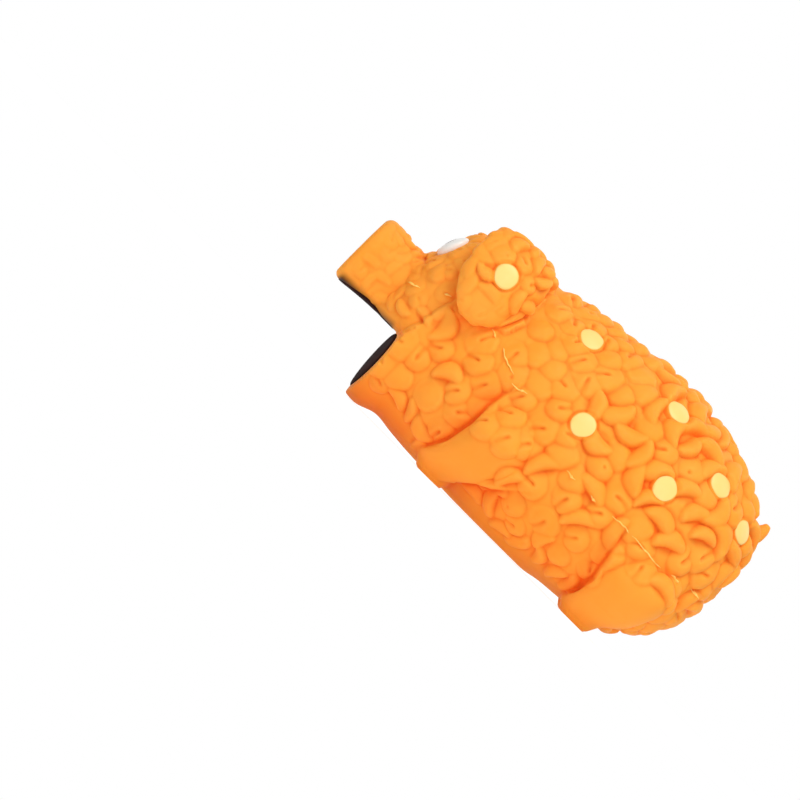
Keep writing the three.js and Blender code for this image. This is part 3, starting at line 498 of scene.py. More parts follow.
face_rings = [face_ring(s) for s in np.linspace(0, LAST_FACE, 90)]
face_rings += [face_ring(LAST_FACE, f, SNOUT_TIP_Y + SNOUT_BULGE * f**2) for f in SNOUT_RINGS]
face_points, face_faces = loft(face_rings)
print("face:", len(face_points), "points")

# %% [markdown]
# Ears, legs and tail are lofts along a bent spine. Their tables have no station that always grows, so the
# row's own number takes that place. Each is sunk well into the body, because a later step melts them
# together. An ear is a thick flap that goes out from the crown and hangs down, and its rear edge bends in to
# the neck.
# %% Ears
EAR_WIDTH, EAR_THICKNESS, EAR_HEIGHT, EAR_DROP, EAR_OFFSET = 26.6, 7.0, 73.2, 28.6, 29.4
EAR_TUCK = 6.0  # how far the ear's rear edge bends in to meet the neck
EAR_POWER = 2.6
EAR_Y = station_y(0.105)
# Out in ear offsets, down in ear drops, half width in half widths, outer and inner half thickness
EAR_ROWS = [
    (0.34, 0.12, 0.66, 0.40, 1.1), (0.58, 0.03, 0.86, 0.50, 1.5), (0.80, 0.06, 0.97, 0.50, 1.5),
    (0.94, 0.22, 1, 0.50, 1.3), (1, 0.46, 0.97, 0.50, 1.1), (1.01, 0.68, 0.84, 0.48, 0.9),
    (1.01, 0.85, 0.60, 0.42, 0.8), (1, 0.96, 0.30, 0.30, 0.6), (1, 1, 0.12, 0.16, 0.3),
]
SIDES = (("left", 1), ("right", -1))


def finer(rows, count):
    """A table sampled evenly between its rows, by row number."""
    numbered = [(i, *row) for i, row in enumerate(rows)]
    return np.array([along(numbered, s)[1:] for s in np.linspace(0, len(rows) - 1, count)])


def directions(spine):
    """The unit direction of a spine at each of its points."""
    run = np.gradient(spine, axis=0)
    return run / np.linalg.norm(run, axis=1)[:, None]


def ear(side):
    """Points and faces of an ear."""
    rows = finer(EAR_ROWS, 48)
    level, fore_and_aft = EAR_HEIGHT - rows[:, 1] * EAR_DROP, np.full(len(rows), EAR_Y)
    spine = np.stack([side * rows[:, 0] * EAR_OFFSET, fore_and_aft, level], 1)
    run = directions(spine)
    outer_way = side * np.stack([-run[:, 2], 0 * run[:, 1], run[:, 0]], 1)
    rings = []
    for place, out, (_, _, width, outer, inner) in zip(spine, outer_way, rows):
        half = np.array([0, width * EAR_WIDTH / 2, 0])
        over, under = out * outer * EAR_THICKNESS, out * inner * EAR_THICKNESS
        ring = section(place, half, over, under, (EAR_POWER, EAR_POWER), 64)
        ring[:, 0] -= side * EAR_TUCK * np.clip((ring[:, 1] - EAR_Y) / (EAR_WIDTH / 2), 0, 1) ** 2
        rings.append(ring)
    return loft(rings)


forms = {"trunk": (trunk_points, trunk_faces), "face": (face_points, face_faces)}
for label, side in SIDES:
    forms[f"ear_{label}"] = ear(side)
print("forms so far:", sorted(forms))

# %% [markdown]
# A leg is a stubby cone that leans in from the flank to a small flat sole. On the real toy the toe rises
# from the ground in a round, and the heel a little too, so the points low down at both ends are raised.
# %% Legs
SOLE_LENGTH, SOLE_WIDTH, SOLE_SPREAD = 15.2, 11.0, 14.2
LEG_ROOT_WIDTH, FOOT_HEIGHT = 0.3, 0.36  # in trunk half widths, and in girth heights
LEG_POWER = 2.3
TOE_REACH, TOE_LIFT = 6.5, 2.9  # how far back a toe is raised, and how much
HEEL_REACH, HEEL_LIFT = 3.5, 0.9
LIFTED_HEIGHT = 7.0  # no point above that height is raised
LIFT_LIMIT = 1.3  # past a reach the lift still grows, up to that many reaches
# Height in girth heights, out in trunk half widths, half width in leg widths, half length and step back in
# sole lengths
FRONT_LEG_ROWS = [
    (1.30, 0.66, 0.50, 0.44, 0.74), (1.06, 0.76, 0.70, 0.58, 0.66), (0.86, 0.77, 0.92, 0.70, 0.62),
    (0.66, 0.75, 1, 0.76, 0.60), (0.36, 0.64, 0.90, 0.66, 0.40), (0.17, 0.50, 0.70, 0.56, 0.07),
]
REAR_LEG_ROWS = [
    (1.22, 0.56, 0.44, 0.44, 0.54), (1.02, 0.62, 0.62, 0.56, 0.52), (0.86, 0.67, 0.82, 0.74, 0.50),
    (0.66, 0.68, 0.98, 0.82, 0.46), (0.36, 0.60, 0.92, 0.68, 0.34), (0.17, 0.485, 0.70, 0.56, 0.07),
]
FOOT_ROWS = [(0.075, 0.41, 0.57, 0.51, 0), (0.025, 0.392, 0.52, 0.45, 0), (-0.02, 0.382, 0.38, 0.33, 0)]
FRONT_SOLE_Y, REAR_SOLE_Y = station_y(0.309), station_y(0.798)


def leg(side, table, sole_y):
    """Points and faces of a leg whose sole has its middle at sole_y."""
    rings = []
    sole_out = table[-1][1]
    for height, out, half_width, half_length, step in finer(table, 40):
        rootward = min(max(height / FOOT_HEIGHT, 0), 1)
        reach = SOLE_SPREAD / sole_out * (1 - rootward) + TRUNK_HALF_WIDTH * rootward
        width = SOLE_WIDTH * (1 - rootward) + LEG_ROOT_WIDTH * TRUNK_HALF_WIDTH * rootward
        centre = (side * out * reach, sole_y + step * SOLE_LENGTH, height * GIRTH_HEIGHT)
        length = np.array([0, half_length * SOLE_LENGTH, 0])
        ring = section(centre, (half_width * width, 0, 0), length, length, (LEG_POWER, LEG_POWER), 56)
        toward_toe = (sole_y - 0.5 * SOLE_LENGTH + TOE_REACH - ring[:, 1]) / TOE_REACH
        toward_heel = (ring[:, 1] - sole_y - 0.5 * SOLE_LENGTH + HEEL_REACH) / HEEL_REACH
        lift = TOE_LIFT * np.clip(toward_toe, 0, LIFT_LIMIT) ** 2
        lift += HEEL_LIFT * np.clip(toward_heel, 0, LIFT_LIMIT) ** 2
        ring[:, 2] += lift * np.clip(1 - ring[:, 2] / LIFTED_HEIGHT, 0, 1)
        rings.append(ring)
    return loft(rings)


for label, side in SIDES:
    forms[f"leg_front_{label}"] = leg(side, FRONT_LEG_ROWS + FOOT_ROWS, FRONT_SOLE_Y)
    forms[f"leg_rear_{label}"] = leg(side, REAR_LEG_ROWS + FOOT_ROWS, REAR_SOLE_Y)
print("forms so far:", sorted(forms))

# %% [markdown]
# The tail is a little hook that stands up from the rump, thick at its root and almost pointed at its end.
# %% Tail
TAIL_LENGTH, TAIL_RADIUS, TAIL_HEIGHT = 9.0, 3.4, 0.775 * TRUNK_HEIGHT
# Back and up in tail lengths, radius in tail radii
TAIL_ROWS = [
    (-0.45, -0.50, 0.95), (-0.05, -0.25, 1), (0.14, 0.05, 0.88), (0.24, 0.35, 0.62), (0.26, 0.62, 0.30),
]


def tail():
    """Points and faces of the tail."""
    rows = finer(TAIL_ROWS, 24)
    root = np.array([0, RUMP_Y - 0.5 * TAIL_LENGTH, TAIL_HEIGHT])
    spine = root + np.stack([np.zeros(len(rows)), rows[:, 0], rows[:, 1]], 1) * TAIL_LENGTH
    rings = []
    for place, way, row in zip(spine, directions(spine), rows):
        radius = row[2] * TAIL_RADIUS
        over = np.array([0, -way[2], way[1]]) * radius
        rings.append(section(place, (radius, 0, 0), over, over, (2, 2), 32))
    return loft(rings)


forms["tail"] = tail()
FORM_ORDER = ["trunk", "face", "tail"]
FORM_ORDER += [f"{form}_{label}" for label, _ in SIDES for form in ("ear", "leg_front", "leg_rear")]
forms = {name: forms[name] for name in FORM_ORDER}
print("forms:", len(forms))

# %% [markdown]
# The real skin is one seamless moulding. To melt the forms into one, they are joined as they are and remeshed
# on a grid of small cubes, which keeps only the outer surface. The staircase that this leaves is smoothed by
# moving every point towards its neighbours and then slightly further back, so nothing shrinks. Plain arrays
# do this quickly: a list of edges, and sums over each point's neighbours.
# %% Remeshing and smoothing
SMOOTH_IN, SMOOTH_OUT = 0.5, 0.53


def new_object(name, points, faces):
    """A mesh object from points in millimetres."""
    mesh = bpy.data.meshes.new(name)
    mesh.from_pydata((np.asarray(points) * MM).tolist(), [], [tuple(f) for f in faces])
    mesh.update()
    made = bpy.data.objects.new(name, mesh)
    bpy.context.collection.objects.link(made)
    return made


def melted(points, faces, voxel):
    """Points and four-sided faces of the outer surface of overlapping closed forms."""
    rough = new_object("rough", points, faces)
    remesh = rough.modifiers.new("remesh", "REMESH")
    remesh.mode = "VOXEL"
    remesh.voxel_size = voxel * MM
    shaped = rough.evaluated_get(bpy.context.evaluated_depsgraph_get()).to_mesh()
    found = np.empty(len(shaped.vertices) * 3)
    shaped.vertices.foreach_get("co", found)
    corners = np.empty(len(shaped.loops), int)
    shaped.loops.foreach_get("vertex_index", corners)
    bpy.data.objects.remove(rough)
    return found.reshape(-1, 3) / MM, corners.reshape(-1, 4)


class Weave:
    """The edges of a mesh of four-sided faces, for sums over neighbours."""

    def __init__(self, quads, count):
        pairs = np.vstack([quads[:, [0, 1]], quads[:, [1, 2]], quads[:, [2, 3]], quads[:, [3, 0]]])
        pairs = np.unique(np.sort(pairs, axis=1), axis=0)
        self.a, self.b, self.count = pairs[:, 0], pairs[:, 1], count
        self.degree = np.bincount(pairs.ravel(), minlength=count).astype(float)

    def mean(self, values):
        """The mean of the neighbours' values."""
        columns = values if values.ndim > 1 else values[:, None]
        total = np.empty(columns.shape)
        for c in range(columns.shape[1]):
            column = columns[:, c]
            total[:, c] = np.bincount(self.a, column[self.b], self.count)
            total[:, c] += np.bincount(self.b, column[self.a], self.count)
        total /= self.degree[:, None]
        return total if values.ndim > 1 else total[:, 0]

    def blurred(self, values, rounds, share=0.5):
        """Values that are moved towards the mean of their neighbours, round by round."""
        for _ in range(rounds):
            values = values + share * (self.mean(values) - values)
        return values

    def smoothed(self, points, rounds):
        """Points without small steps, at nearly the same volume."""
        for _ in range(rounds):
            points = points + SMOOTH_IN * (self.mean(points) - points)
            points = points - SMOOTH_OUT * (self.mean(points) - points)
        return points


def quad_normals(points, quads):
    """Unit normals at the points."""
    across = np.cross(points[quads[:, 2]] - points[quads[:, 0]], points[quads[:, 3]] - points[quads[:, 1]])
    total = np.zeros(points.shape)
    for corner in range(4):
        for c in range(3):
            total[:, c] += np.bincount(quads[:, corner], across[:, c], len(points))
    return total / np.maximum(np.linalg.norm(total, axis=1), 1e-12)[:, None]


# %% [markdown]
# Now the forms melt. The grid is fine enough for the smallest lock of the coat, and the soles are cut flat at
# the ground. Besides the true normals, a blurred set is kept: the coat will grow along it, so that locks on
# both sides of a tight corner don't run into each other.
# %% Melt the forms into one skin
VOXEL = 0.44
SMOOTH_ROUNDS, NORMAL_BLUR = 9, 6

joined_points, joined_faces = [], []
offset = 0
for points, faces in forms.values():
    joined_points.append(points)
    joined_faces += [[i + offset for i in face] for face in faces]
    offset += len(points)
blank, quads = melted(np.vstack(joined_points), joined_faces, VOXEL)
weave = Weave(quads, len(blank))
blank = weave.smoothed(blank, SMOOTH_ROUNDS)
blank[:, 2] = np.maximum(blank[:, 2], 0)
normals = quad_normals(blank, quads)
outward = weave.blurred(normals, NORMAL_BLUR)
outward /= np.linalg.norm(outward, axis=1)[:, None]
print("skin:", len(blank), "points,", len(quads), "faces")

# %% [markdown]
# Next, each point learns which form it belongs to, from the form whose surface lies nearest. The coat needs
# that: the feet, the tail, the snout's end and the belly are smooth on the real toy, and the ears nearly so
# at their tips.
# %% Name the regions
form_names = list(forms)
distances = np.empty((len(form_names), len(blank)))
for row, name in enumerate(form_names):
    tree = BVHTree.FromPolygons(forms[name][0].tolist(), [tuple(f) for f in forms[name][1]])
    distances[row] = [tree.find_nearest(p)[3] for p in blank.tolist()]
region = np.argmin(distances, axis=0)
is_in = {name: region == row for row, name in enumerate(form_names)}
print("points in each form:", {name: int(inside.sum()) for name, inside in is_in.items()})

# %% [markdown]
# The places of the painted spots and the eyes come before the coat, because the coat leaves a flat pad for
# each of them. They are worked out from the sections: a spot from its station and height on the trunk's side,
# an eye from the slope of the forehead, so that it looks up and forward.
# %% Places of the spots and the eyes
SPOT_RADIUS, EAR_SPOT_RADIUS, EAR_SPOT_DROP = 4.1, 4.05, 0.34
# Station and height in trunk heights; the two sides were painted by hand and differ
SPOT_ROWS = {
    "left": [(0.358, 0.862), (0.63, 0.902), (0.825, 0.813), (0.944, 0.745), (0.487, 0.592), (0.733, 0.644)],
    "right": [(0.395, 0.848), (0.594, 0.890), (0.74, 0.845), (0.93, 0.680), (0.49, 0.585), (0.803, 0.595)],
}
EYE_RADIUS, EYE_BULGE, EYE_OFFSET, EYE_STATION, EYE_TURN, PUPIL_RADIUS = 5.6, 2.0, 9.2, 0.44, -0.08, 2.0
SLOPE_STEP = 0.03  # how far before and behind an eye the forehead's slope is taken, in stations


def trunk_spot(side, station, height):
    """The point on the trunk's side at a station and a height."""
    centre, width, over, under = trunk_section(station)
    above = height >= centre[2]
    rise = min(abs(height - centre[2]) / (over if above else under), 1)
    power = UPPER_POWER if above else LOWER_POWER
    return np.array([side * width * (1 - rise**power) ** (1 / power), centre[1], height])


def face_top(share):
    """How high the face is at a station along it."""
    centre, _, half = face_section(share)
    return centre[2] + half


def eye_place(side):
    """The middle of an eye and the way it faces."""
    centre, width, half = face_section(EYE_STATION)
    z = centre[2] + half * (1 - min(EYE_OFFSET / width, 1) ** FACE_POWER) ** (1 / FACE_POWER)
    fall = face_top(EYE_STATION - SLOPE_STEP) - face_top(EYE_STATION + SLOPE_STEP)
    slope = fall / (2 * SLOPE_STEP * (FACE_ROOT + FACE_REACH))
    way = np.array([side * EYE_TURN, -slope, 1.0])
    return np.array([side * EYE_OFFSET, centre[1], z]), way / np.linalg.norm(way)


spots = {}
for label, side in SIDES:
    for i, (station, height) in enumerate(SPOT_ROWS[label]):
        spots[f"spot_{label}_{i + 1}"] = (trunk_spot(side, station, height * TRUNK_HEIGHT), SPOT_RADIUS)
    ear_spot_height = EAR_HEIGHT - EAR_SPOT_DROP * EAR_DROP
    ear_spot = np.array([side * (EAR_OFFSET + EAR_THICKNESS / 2), EAR_Y, ear_spot_height])
    spots[f"spot_ear_{label}"] = (ear_spot, EAR_SPOT_RADIUS)
eyes = {label: eye_place(side) for label, side in SIDES}
print("spots:", len(spots), "eyes at", [np.round(eyes[k][0], 1).tolist() for k in eyes])

# %% [markdown]
# The curly coat is what everyone sees first. On the real toy it was carved into the mould lock by lock, so it
# is built lock by lock here. Where a lock may grow, and how big, high and curly it is, depends on the place:
# rolls on the rump, high scales along the back, flatter ones on the flank, and small ones on the face.
# %% Rules of the coat
# Size and height of a lock, chance of a worm instead of a scale, and room that it keeps round itself
Rule = namedtuple("Rule", "size tall worm_chance room")
EAR_BACK = Rule(0.75, 0.9, 0.6, 1.0)
EAR_FRONT = Rule(0.75, 0.28, 0.6, 1.0)
CROWN = Rule(0.74, 0.75, 0.5, 1.0)
BELLY_SIDE = Rule(0.8, 0.8, 0.85, 1.15)
# Heights above which the coat starts, on the belly's side, under the chin and on the legs
BELLY_EDGE, CHIN_EDGE, FRONT_LEG_EDGE, REAR_LEG_EDGE = 5.0, 9.5, 24.0, 27.0
CHIN_SPAN = (22, 30)  # how far in front of the middle the chin's edge takes over from the belly's
SNOUT_EDGE, MOUTH_MARGIN = 5.5, 2.0  # how much is smooth behind the snout's end and over the mouth's roof
UNDERSIDE, FORWARD, FACE_UNDERSIDE = -0.86, -0.6, -0.25  # a unit normal's Z, Y and Z; smooth below them
# Where one kind of coat gives way to another
EAR_BACK_Y, EAR_BACK_Z, EAR_BACK_FALL, EAR_FALL_Y = EAR_Y - 8.5, 59.5, 7.0, (-37, -30)
SNOUT_START_Y, CROWN_Y, CROWN_Z, BELLY_SIDE_TOP = MOUTH_Y - 6, -38.0, 62.0, 13.0
REAR_Y, REAR_Z, BACK_Z = (-5, 30), (22, 44), (56, 68)  # the rump and the back come in between two such values


def ramp(value, low, high):
    """0 below low, 1 above high, and straight between them."""
    return max(0.0, min(1.0, (value - low) / (high - low)))


def is_smooth(place, n, name):
    """Whether no lock grows at a point of a form where the skin faces along n."""
    _, y, z = place
    edge = BELLY_EDGE + (CHIN_EDGE - BELLY_EDGE) * ramp(-y, *CHIN_SPAN)
    if z < edge or n[2] < UNDERSIDE or name == "tail":
        return True
    if name.startswith("leg"):
        return z < (FRONT_LEG_EDGE if name.startswith("leg_front") else REAR_LEG_EDGE)
    if name == "trunk":
        return n[1] < FORWARD and z < MOUTH_HEIGHT + MOUTH_MARGIN
    return name == "face" and (y < SNOUT_TIP_Y + SNOUT_EDGE or n[2] < FACE_UNDERSIDE)


def lock_rule(place, n, name):
    """The rule for a lock at a point of a form where the skin faces along n."""
    _, y, z = place
    if name.startswith("ear"):
        is_back = z > EAR_BACK_Z - EAR_BACK_FALL * ramp(y, *EAR_FALL_Y) and y > EAR_BACK_Y
        return EAR_BACK if is_back else EAR_FRONT
    sideways = min(1.0, abs(n[0]))
    if name == "face" and y < SNOUT_START_Y:
        return Rule(0.6, 0.66 - 0.5 * sideways, 0.6, 1.0)
    if name == "face":
        return Rule(0.72, 0.75 - 0.25 * sideways, 0.3, 1.0)
    if y < CROWN_Y and z > CROWN_Z:
        return CROWN
    if z < BELLY_SIDE_TOP:
        return BELLY_SIDE
    rear = ramp(y, *REAR_Y) * ramp(z, *REAR_Z)
    back = ramp(z, *BACK_Z)
    return Rule(1.0 + 0.05 * rear, 1.0 + 0.25 * max(rear, back), 0.1 + 0.62 * rear, 1.0)


# %% [markdown]
# The CAD part has the main locks, in rows round the trunk, and the same places are worked out again here.
# Others fill the room between them, spread by chance but never too near each other. Points of the skin are
# tried in a random order, and each one that is far enough from all the locks so far gets a lock. A coarse
# grid of cells keeps that quick, as only the cells nearby have to be searched.
# %% Where the locks grow
LOCK_PITCH, LOCKS_ROUND, LOCK_COLUMNS = 11.0, 20, 3
COAT_START, COAT_END, COAT_EDGE = 0.045, 0.95, 11.0
ROW_SHIFT, COLUMN_SHIFT = 0.55, 1.5  # where the first row and the first column lie, in rows and columns
MAIN_SPACING, FILL_SPACING = 6.0, 6.6  # how far apart locks of size 1 have to be
FILL_TRIES = 34000  # how many points of the skin are tried for the others
SPOT_ROOM, EYE_ROOM = 1.6, 1.5  # how far the middle of a lock stays off the edge of a mark
CELL = 9.0  # more than any two locks have to keep between them
rng = np.random.default_rng(11)

finder = KDTree(len(blank))
for i, p in enumerate(blank.tolist()):
    finder.insert(p, i)
finder.balance()


def main_places():
    """The middles of the CAD part's locks on the trunk."""
    rows = round((COAT_END - COAT_START) * TRUNK_LENGTH / LOCK_PITCH)
    columns = LOCKS_ROUND * LOCK_COLUMNS
    for row in range(rows):
        share = COAT_START + (COAT_END - COAT_START) * (row + ROW_SHIFT) / rows
        centre, width, over, under = trunk_section(share)
        for lock in range(LOCKS_ROUND):
            angle = 2 * math.pi * (lock * LOCK_COLUMNS - row + COLUMN_SHIFT) / columns
            upper = math.cos(angle) >= 0
            bend = 2 / (UPPER_POWER if upper else LOWER_POWER)
            out = math.copysign(abs(math.sin(angle)) ** bend, math.sin(angle)) * width
            rise = math.copysign(abs(math.cos(angle)) ** bend, math.cos(angle)) * (over if upper else under)
            if centre[2] + rise > COAT_EDGE:
                yield centre + np.array([out, 0, rise])


def clear_of_marks(place):
    """Whether a lock's centre keeps away from the painted spots and the eyes."""
    for middle, radius in spots.values():
        if np.linalg.norm(place - middle) < radius + SPOT_ROOM:
            return False
    return all(np.linalg.norm(place - middle) > EYE_RADIUS + EYE_ROOM for middle, _ in eyes.values())


def grow_locks(candidates, spacing):
    """Adds to the locks each candidate that may carry one and is not too near to another."""
    for i in candidates:
        name = form_names[region[i]]
        if is_smooth(blank[i], outward[i], name) or not clear_of_marks(blank[i]):
            continue
        rule = lock_rule(blank[i], outward[i], name)
        x, y, z = (blank[i] // CELL).astype(int)
        near = [q for dx in (-1, 0, 1) for dy in (-1, 0, 1) for dz in (-1, 0, 1)
                for q in cells.get((x + dx, y + dy, z + dz), ())]
        if all(np.linalg.norm(blank[i] - blank[q]) > spacing * rule.size * rule.room for q in near):
            cells.setdefault((x, y, z), []).append(i)
            locks.append((i, rule))


cells, locks = {}, []
grow_locks([finder.find(Vector(p))[1] for p in main_places()], MAIN_SPACING)
main_count = len(locks)
grow_locks(rng.permutation(len(blank))[:FILL_TRIES].tolist(), FILL_SPACING)
print("locks:", main_count, "main and", len(locks) - main_count, "between them")

# %% [markdown]
# There are two kinds of lock. A scale is a pillow that rises to a round free edge, often with a notch that
# runs in from one side, and now and then with a pinhole. A worm is a fat bent roll. Both are plain functions
# on a flat map: one axis points to the free edge, the other runs across. The numbers in them were found by
# trying them against the toy's own locks.
# %% Two kinds of lock
NOTHING = -1e9
# Half length and half width of a scale, and of a worm, each as the least and what chance may add
SCALE_LENGTH, SCALE_WIDTH = (4.9, 1.0), (4.5, 1.2)
WORM_LENGTH, WORM_WIDTH = (5.4, 1.6), (2.6, 0.8)
NOTCHED, PRICKED = 0.6, 0.68  # a scale's draw below the first gives a notch, and below the second a pinhole
CURLED_DOWN = 0.7  # the share of worms whose ends curl towards their free edge
NOTCH_SOFTNESS, PINHOLE_SIZE = 0.28, 0.016


def drawn(least, more, draw):
    """A value from least to least + more, by a random draw from 0 to 1."""
    return least + more * draw


def soft_step(value, softness):
    """0 well below zero, 1 well above it, and soft between."""
    return 1 / (1 + np.exp(np.minimum(-value / softness, 500)))


def notch(a, b, size, draw):
    """How deep a curved notch cuts in, which runs from near a lock's middle out to one side."""
    way = drawn(1.0, 1.5, draw[3]) * (1 if draw[4] < 0.5 else -1)
    run = a * math.cos(way) + b * math.sin(way) + 0.5 * size
    aside = b * math.cos(way) - a * math.sin(way) - 0.07 * run**2 * (2 * draw[6] - 1)
    outer = np.maximum(run, 0)
    depth = 0.2 + 0.3 * np.exp(-outer / 1.6)
    return depth * soft_step(run, NOTCH_SOFTNESS) * np.exp(-((aside / (0.5 + 0.13 * outer)) ** 2))


def pinhole(u, v, draw):
    """How deep a small round hole is, a little towards the free edge."""
    off = (u - 0.2) ** 2 + (v - 0.8 * (draw[4] - 0.5)) ** 2
    return drawn(0.14, 0.12, draw[3]) * np.exp(-off / PINHOLE_SIZE)


def scale_lock(a, b, size, draw):
    """A pillow that rises to a round free edge, often with a notch or a pinhole."""
    u, v = a / (drawn(*SCALE_LENGTH, draw[0]) * size), b / (drawn(*SCALE_WIDTH, draw[1]) * size)
    v = v * (1 + 0.25 * (u < 0) * -u) + 0.16 * (draw[5] - 0.5) * u * u
    far = u**2 + np.abs(v) ** 2.2
    lift = np.maximum(1 - far, 0) ** 0.8 * (0.62 + 0.42 * u)
    if draw[2] < NOTCHED:
        lift = lift - notch(a, b, size, draw)
    elif draw[2] < PRICKED:
        lift = lift - pinhole(u, v, draw)
    return np.where(far < 1, lift, NOTHING)


def worm_lock(a, b, size, draw):
    """A fat roll that bends, tilted to one of its long sides."""
    length, width = drawn(*WORM_LENGTH, draw[0]) * size, drawn(*WORM_WIDTH, draw[1]) * size
    bend = drawn(0.04, 0.055, draw[2]) * (1 if draw[3] < CURLED_DOWN else -1)
    b = b - bend * a**2 + bend * 8 * size**2
    far = np.abs(a / length) ** 2.6 + (b / width) ** 2
    lift = np.maximum(1 - far, 0) ** 0.6 * (0.78 + 0.24 * b / width)
    return np.where(far < 1, lift, NOTHING)


# %% [markdown]
# Each lock is laid out on its own flat map, held against the skin. The free edges point back and down, as wet
# wool would lie, with some disorder. Every point of the skin takes the highest lock over it, and where two
# locks meet that way, a sharp crease appears by itself, as in the mould.
# %% Raise the locks
LOCK_REACH, LOCK_RISE = 9.5, 3.0
LIE = np.array([0.0, 0.72, -0.70])  # the way the coat lies
OTHER_LIE = np.array([0.0, 0.3, -1.0])  # the way it lies where the skin itself faces along LIE
WORM_SWING, SCALE_SWING = 2.6, 1.3  # how much a lock may turn from that way, in radians from end to end
SAME_SIDE, SAME_DEPTH = 0.25, 3.2  # a lock stays off skin that faces elsewhere or lies far off its map
COVER_REACH = 4.4  # how far round its middle a lock covers the ground
height = np.full(len(blank), NOTHING)
covered = np.zeros(len(blank))

for i, rule in locks:
    draw = rng.random(10)
    centre, n = blank[i], outward[i]
    lie = LIE - n * (LIE @ n)
    if np.linalg.norm(lie) < 0.15:
        lie = OTHER_LIE - n * -n[2]
    lie /= np.linalg.norm(lie)
    is_worm = draw[0] < rule.worm_chance
    swing = (draw[1] - 0.5) * (WORM_SWING if is_worm else SCALE_SWING)
    free = math.cos(swing) * lie + math.sin(swing) * np.cross(n, lie)
    found = np.array([hit[1] for hit in finder.find_range(centre, LOCK_REACH * rule.size)])
    away = blank[found] - centre
    a, b, off = away @ free, away @ np.cross(n, free), away @ n
    size = rule.size * drawn(0.9, 0.25, draw[2])
    shape = worm_lock(b, a, size, draw[3:]) if is_worm else scale_lock(a, b, size, draw[3:])
    same_sheet = (outward[found] @ n > SAME_SIDE) & (np.abs(off) < SAME_DEPTH * rule.size)
    rise = np.where(same_sheet, shape * rule.tall * LOCK_RISE * drawn(0.88, 0.3, draw[9]), NOTHING)
    height[found] = np.maximum(height[found], rise)
    near = same_sheet & (np.hypot(a, b) < COVER_REACH * rule.size)
    covered[found] = np.maximum(covered[found], np.where(near, rule.tall, 0))
print("lifted points:", int((height > 0).sum()))

# %% [markdown]
# Then the coat settles. The ground between the locks lies a little under the form's own surface. The coat
# ends softly at the mouth's wall, the snout's end and the tail, gets lower where an ear meets the neck, and
# leaves a patch bare where the chin meets a front toe.
# %% Settle the coat
COAT_SINK = 0.6  # how far the ground between the locks lies under the form's own surface
SEAM_REACH, SEAM_LEAST = 2.2, 0.12  # how wide the low coat at an ear's root is, and what is left of it
SNOUT_PLAIN = 3.0  # how far behind the snout's end the surface stays plain
TOE_FRONT_Y, TOE_FRONT_Z, TOE_FRONT_REACH = -19.0, 4.0, 3.2  # the bare patch in front of a front toe

height = np.maximum(height, 0.0) - COAT_SINK * weave.blurred(covered, 14)
height = weave.blurred(height, 1, 0.3)
mouth_wall = is_in["trunk"] & (normals[:, 1] < FORWARD) & (blank[:, 2] < MOUTH_HEIGHT + MOUTH_MARGIN)
snout_end = is_in["face"] & (blank[:, 1] < SNOUT_TIP_Y + SNOUT_PLAIN)
height *= 1 - weave.blurred((is_in["tail"] | mouth_wall | snout_end).astype(float), 2)
ear_rows = [form_names.index(f"ear_{label}") for label, _ in SIDES]
on_ear = is_in["ear_left"] | is_in["ear_right"]
other_form = np.where(on_ear, distances[form_names.index("trunk")], distances[ear_rows].min(0))
height *= np.clip(other_form / SEAM_REACH, SEAM_LEAST, 1)
toe_front = ((blank[:, 1] - TOE_FRONT_Y) ** 2 + (blank[:, 2] - TOE_FRONT_Z) ** 2) / TOE_FRONT_REACH**2
height *= 1 - np.exp(-(toe_front**2))
print("coat height in mm:", np.round(np.percentile(height, [1, 25, 50, 75, 99]), 2).tolist())

# %% [markdown]
# The legs stand out from the belly with a step, and a deep fold runs along it. Each fold is a short line down
# the toy's side, drawn so that the low ground lies on its left. The skin drops on that side and swells a
# little on the other, and the locks fade out before they reach the line. The low side is also remembered for
# the finish, which paints shade into that corner.
# %% Folds beside the legs
# Each point of a fold as (y, z, depth)
LEG_FOLDS = [
    [(-20.6, 4.0, 0.0), (-15.8, 13.0, 1.5), (-14.0, 23.0, 1.6), (-14.2, 30.0, 1.3), (-12.6, 38.0, 0.4)],
    [(11.0, 17.0, 0.3), (5.2, 11.6, 1.2), (0.8, 9.4, 1.6), (-4.0, 5.4, 0.9)],
    [(46.0, 3.4, 0.0), (48.0, 9.0, 1.8), (48.6, 14.5, 2.1), (46.8, 24.0, 1.0), (46.0, 30.0, 0.2)],
]
FOLD_REACH, FOLD_SWELL, FOLD_EDGE, FOLD_CALM = 4.2, 0.3, 0.45, 1.1
FOLD_SHADE, SHADE_REACH = 0.5, 5.0  # how much painted shade darkens the low side, and how far out
FLANK_START, FLANK_FADE = 9.0, 5.0  # the folds fade in beyond that distance from the middle


def beside(fold, y, z):
    """The distance from a fold, positive on its low side, and the fold's depth there."""
    nearest, depth = np.full(len(y), 1e9), np.zeros(len(y))
    for (y0, z0, d0), (y1, z1, d1) in zip(fold, fold[1:]):
        run_y, run_z = y1 - y0, z1 - z0
        share = np.clip(((y - y0) * run_y + (z - z0) * run_z) / (run_y**2 + run_z**2), 0, 1)
        off_y, off_z = y - y0 - share * run_y, z - z0 - share * run_z
        signed = np.hypot(off_y, off_z) * np.sign(run_y * off_z - run_z * off_y)
        closer = np.abs(signed) < np.abs(nearest)
        nearest = np.where(closer, signed, nearest)
        depth = np.where(closer, d0 + (d1 - d0) * share, depth)
    return nearest, depth


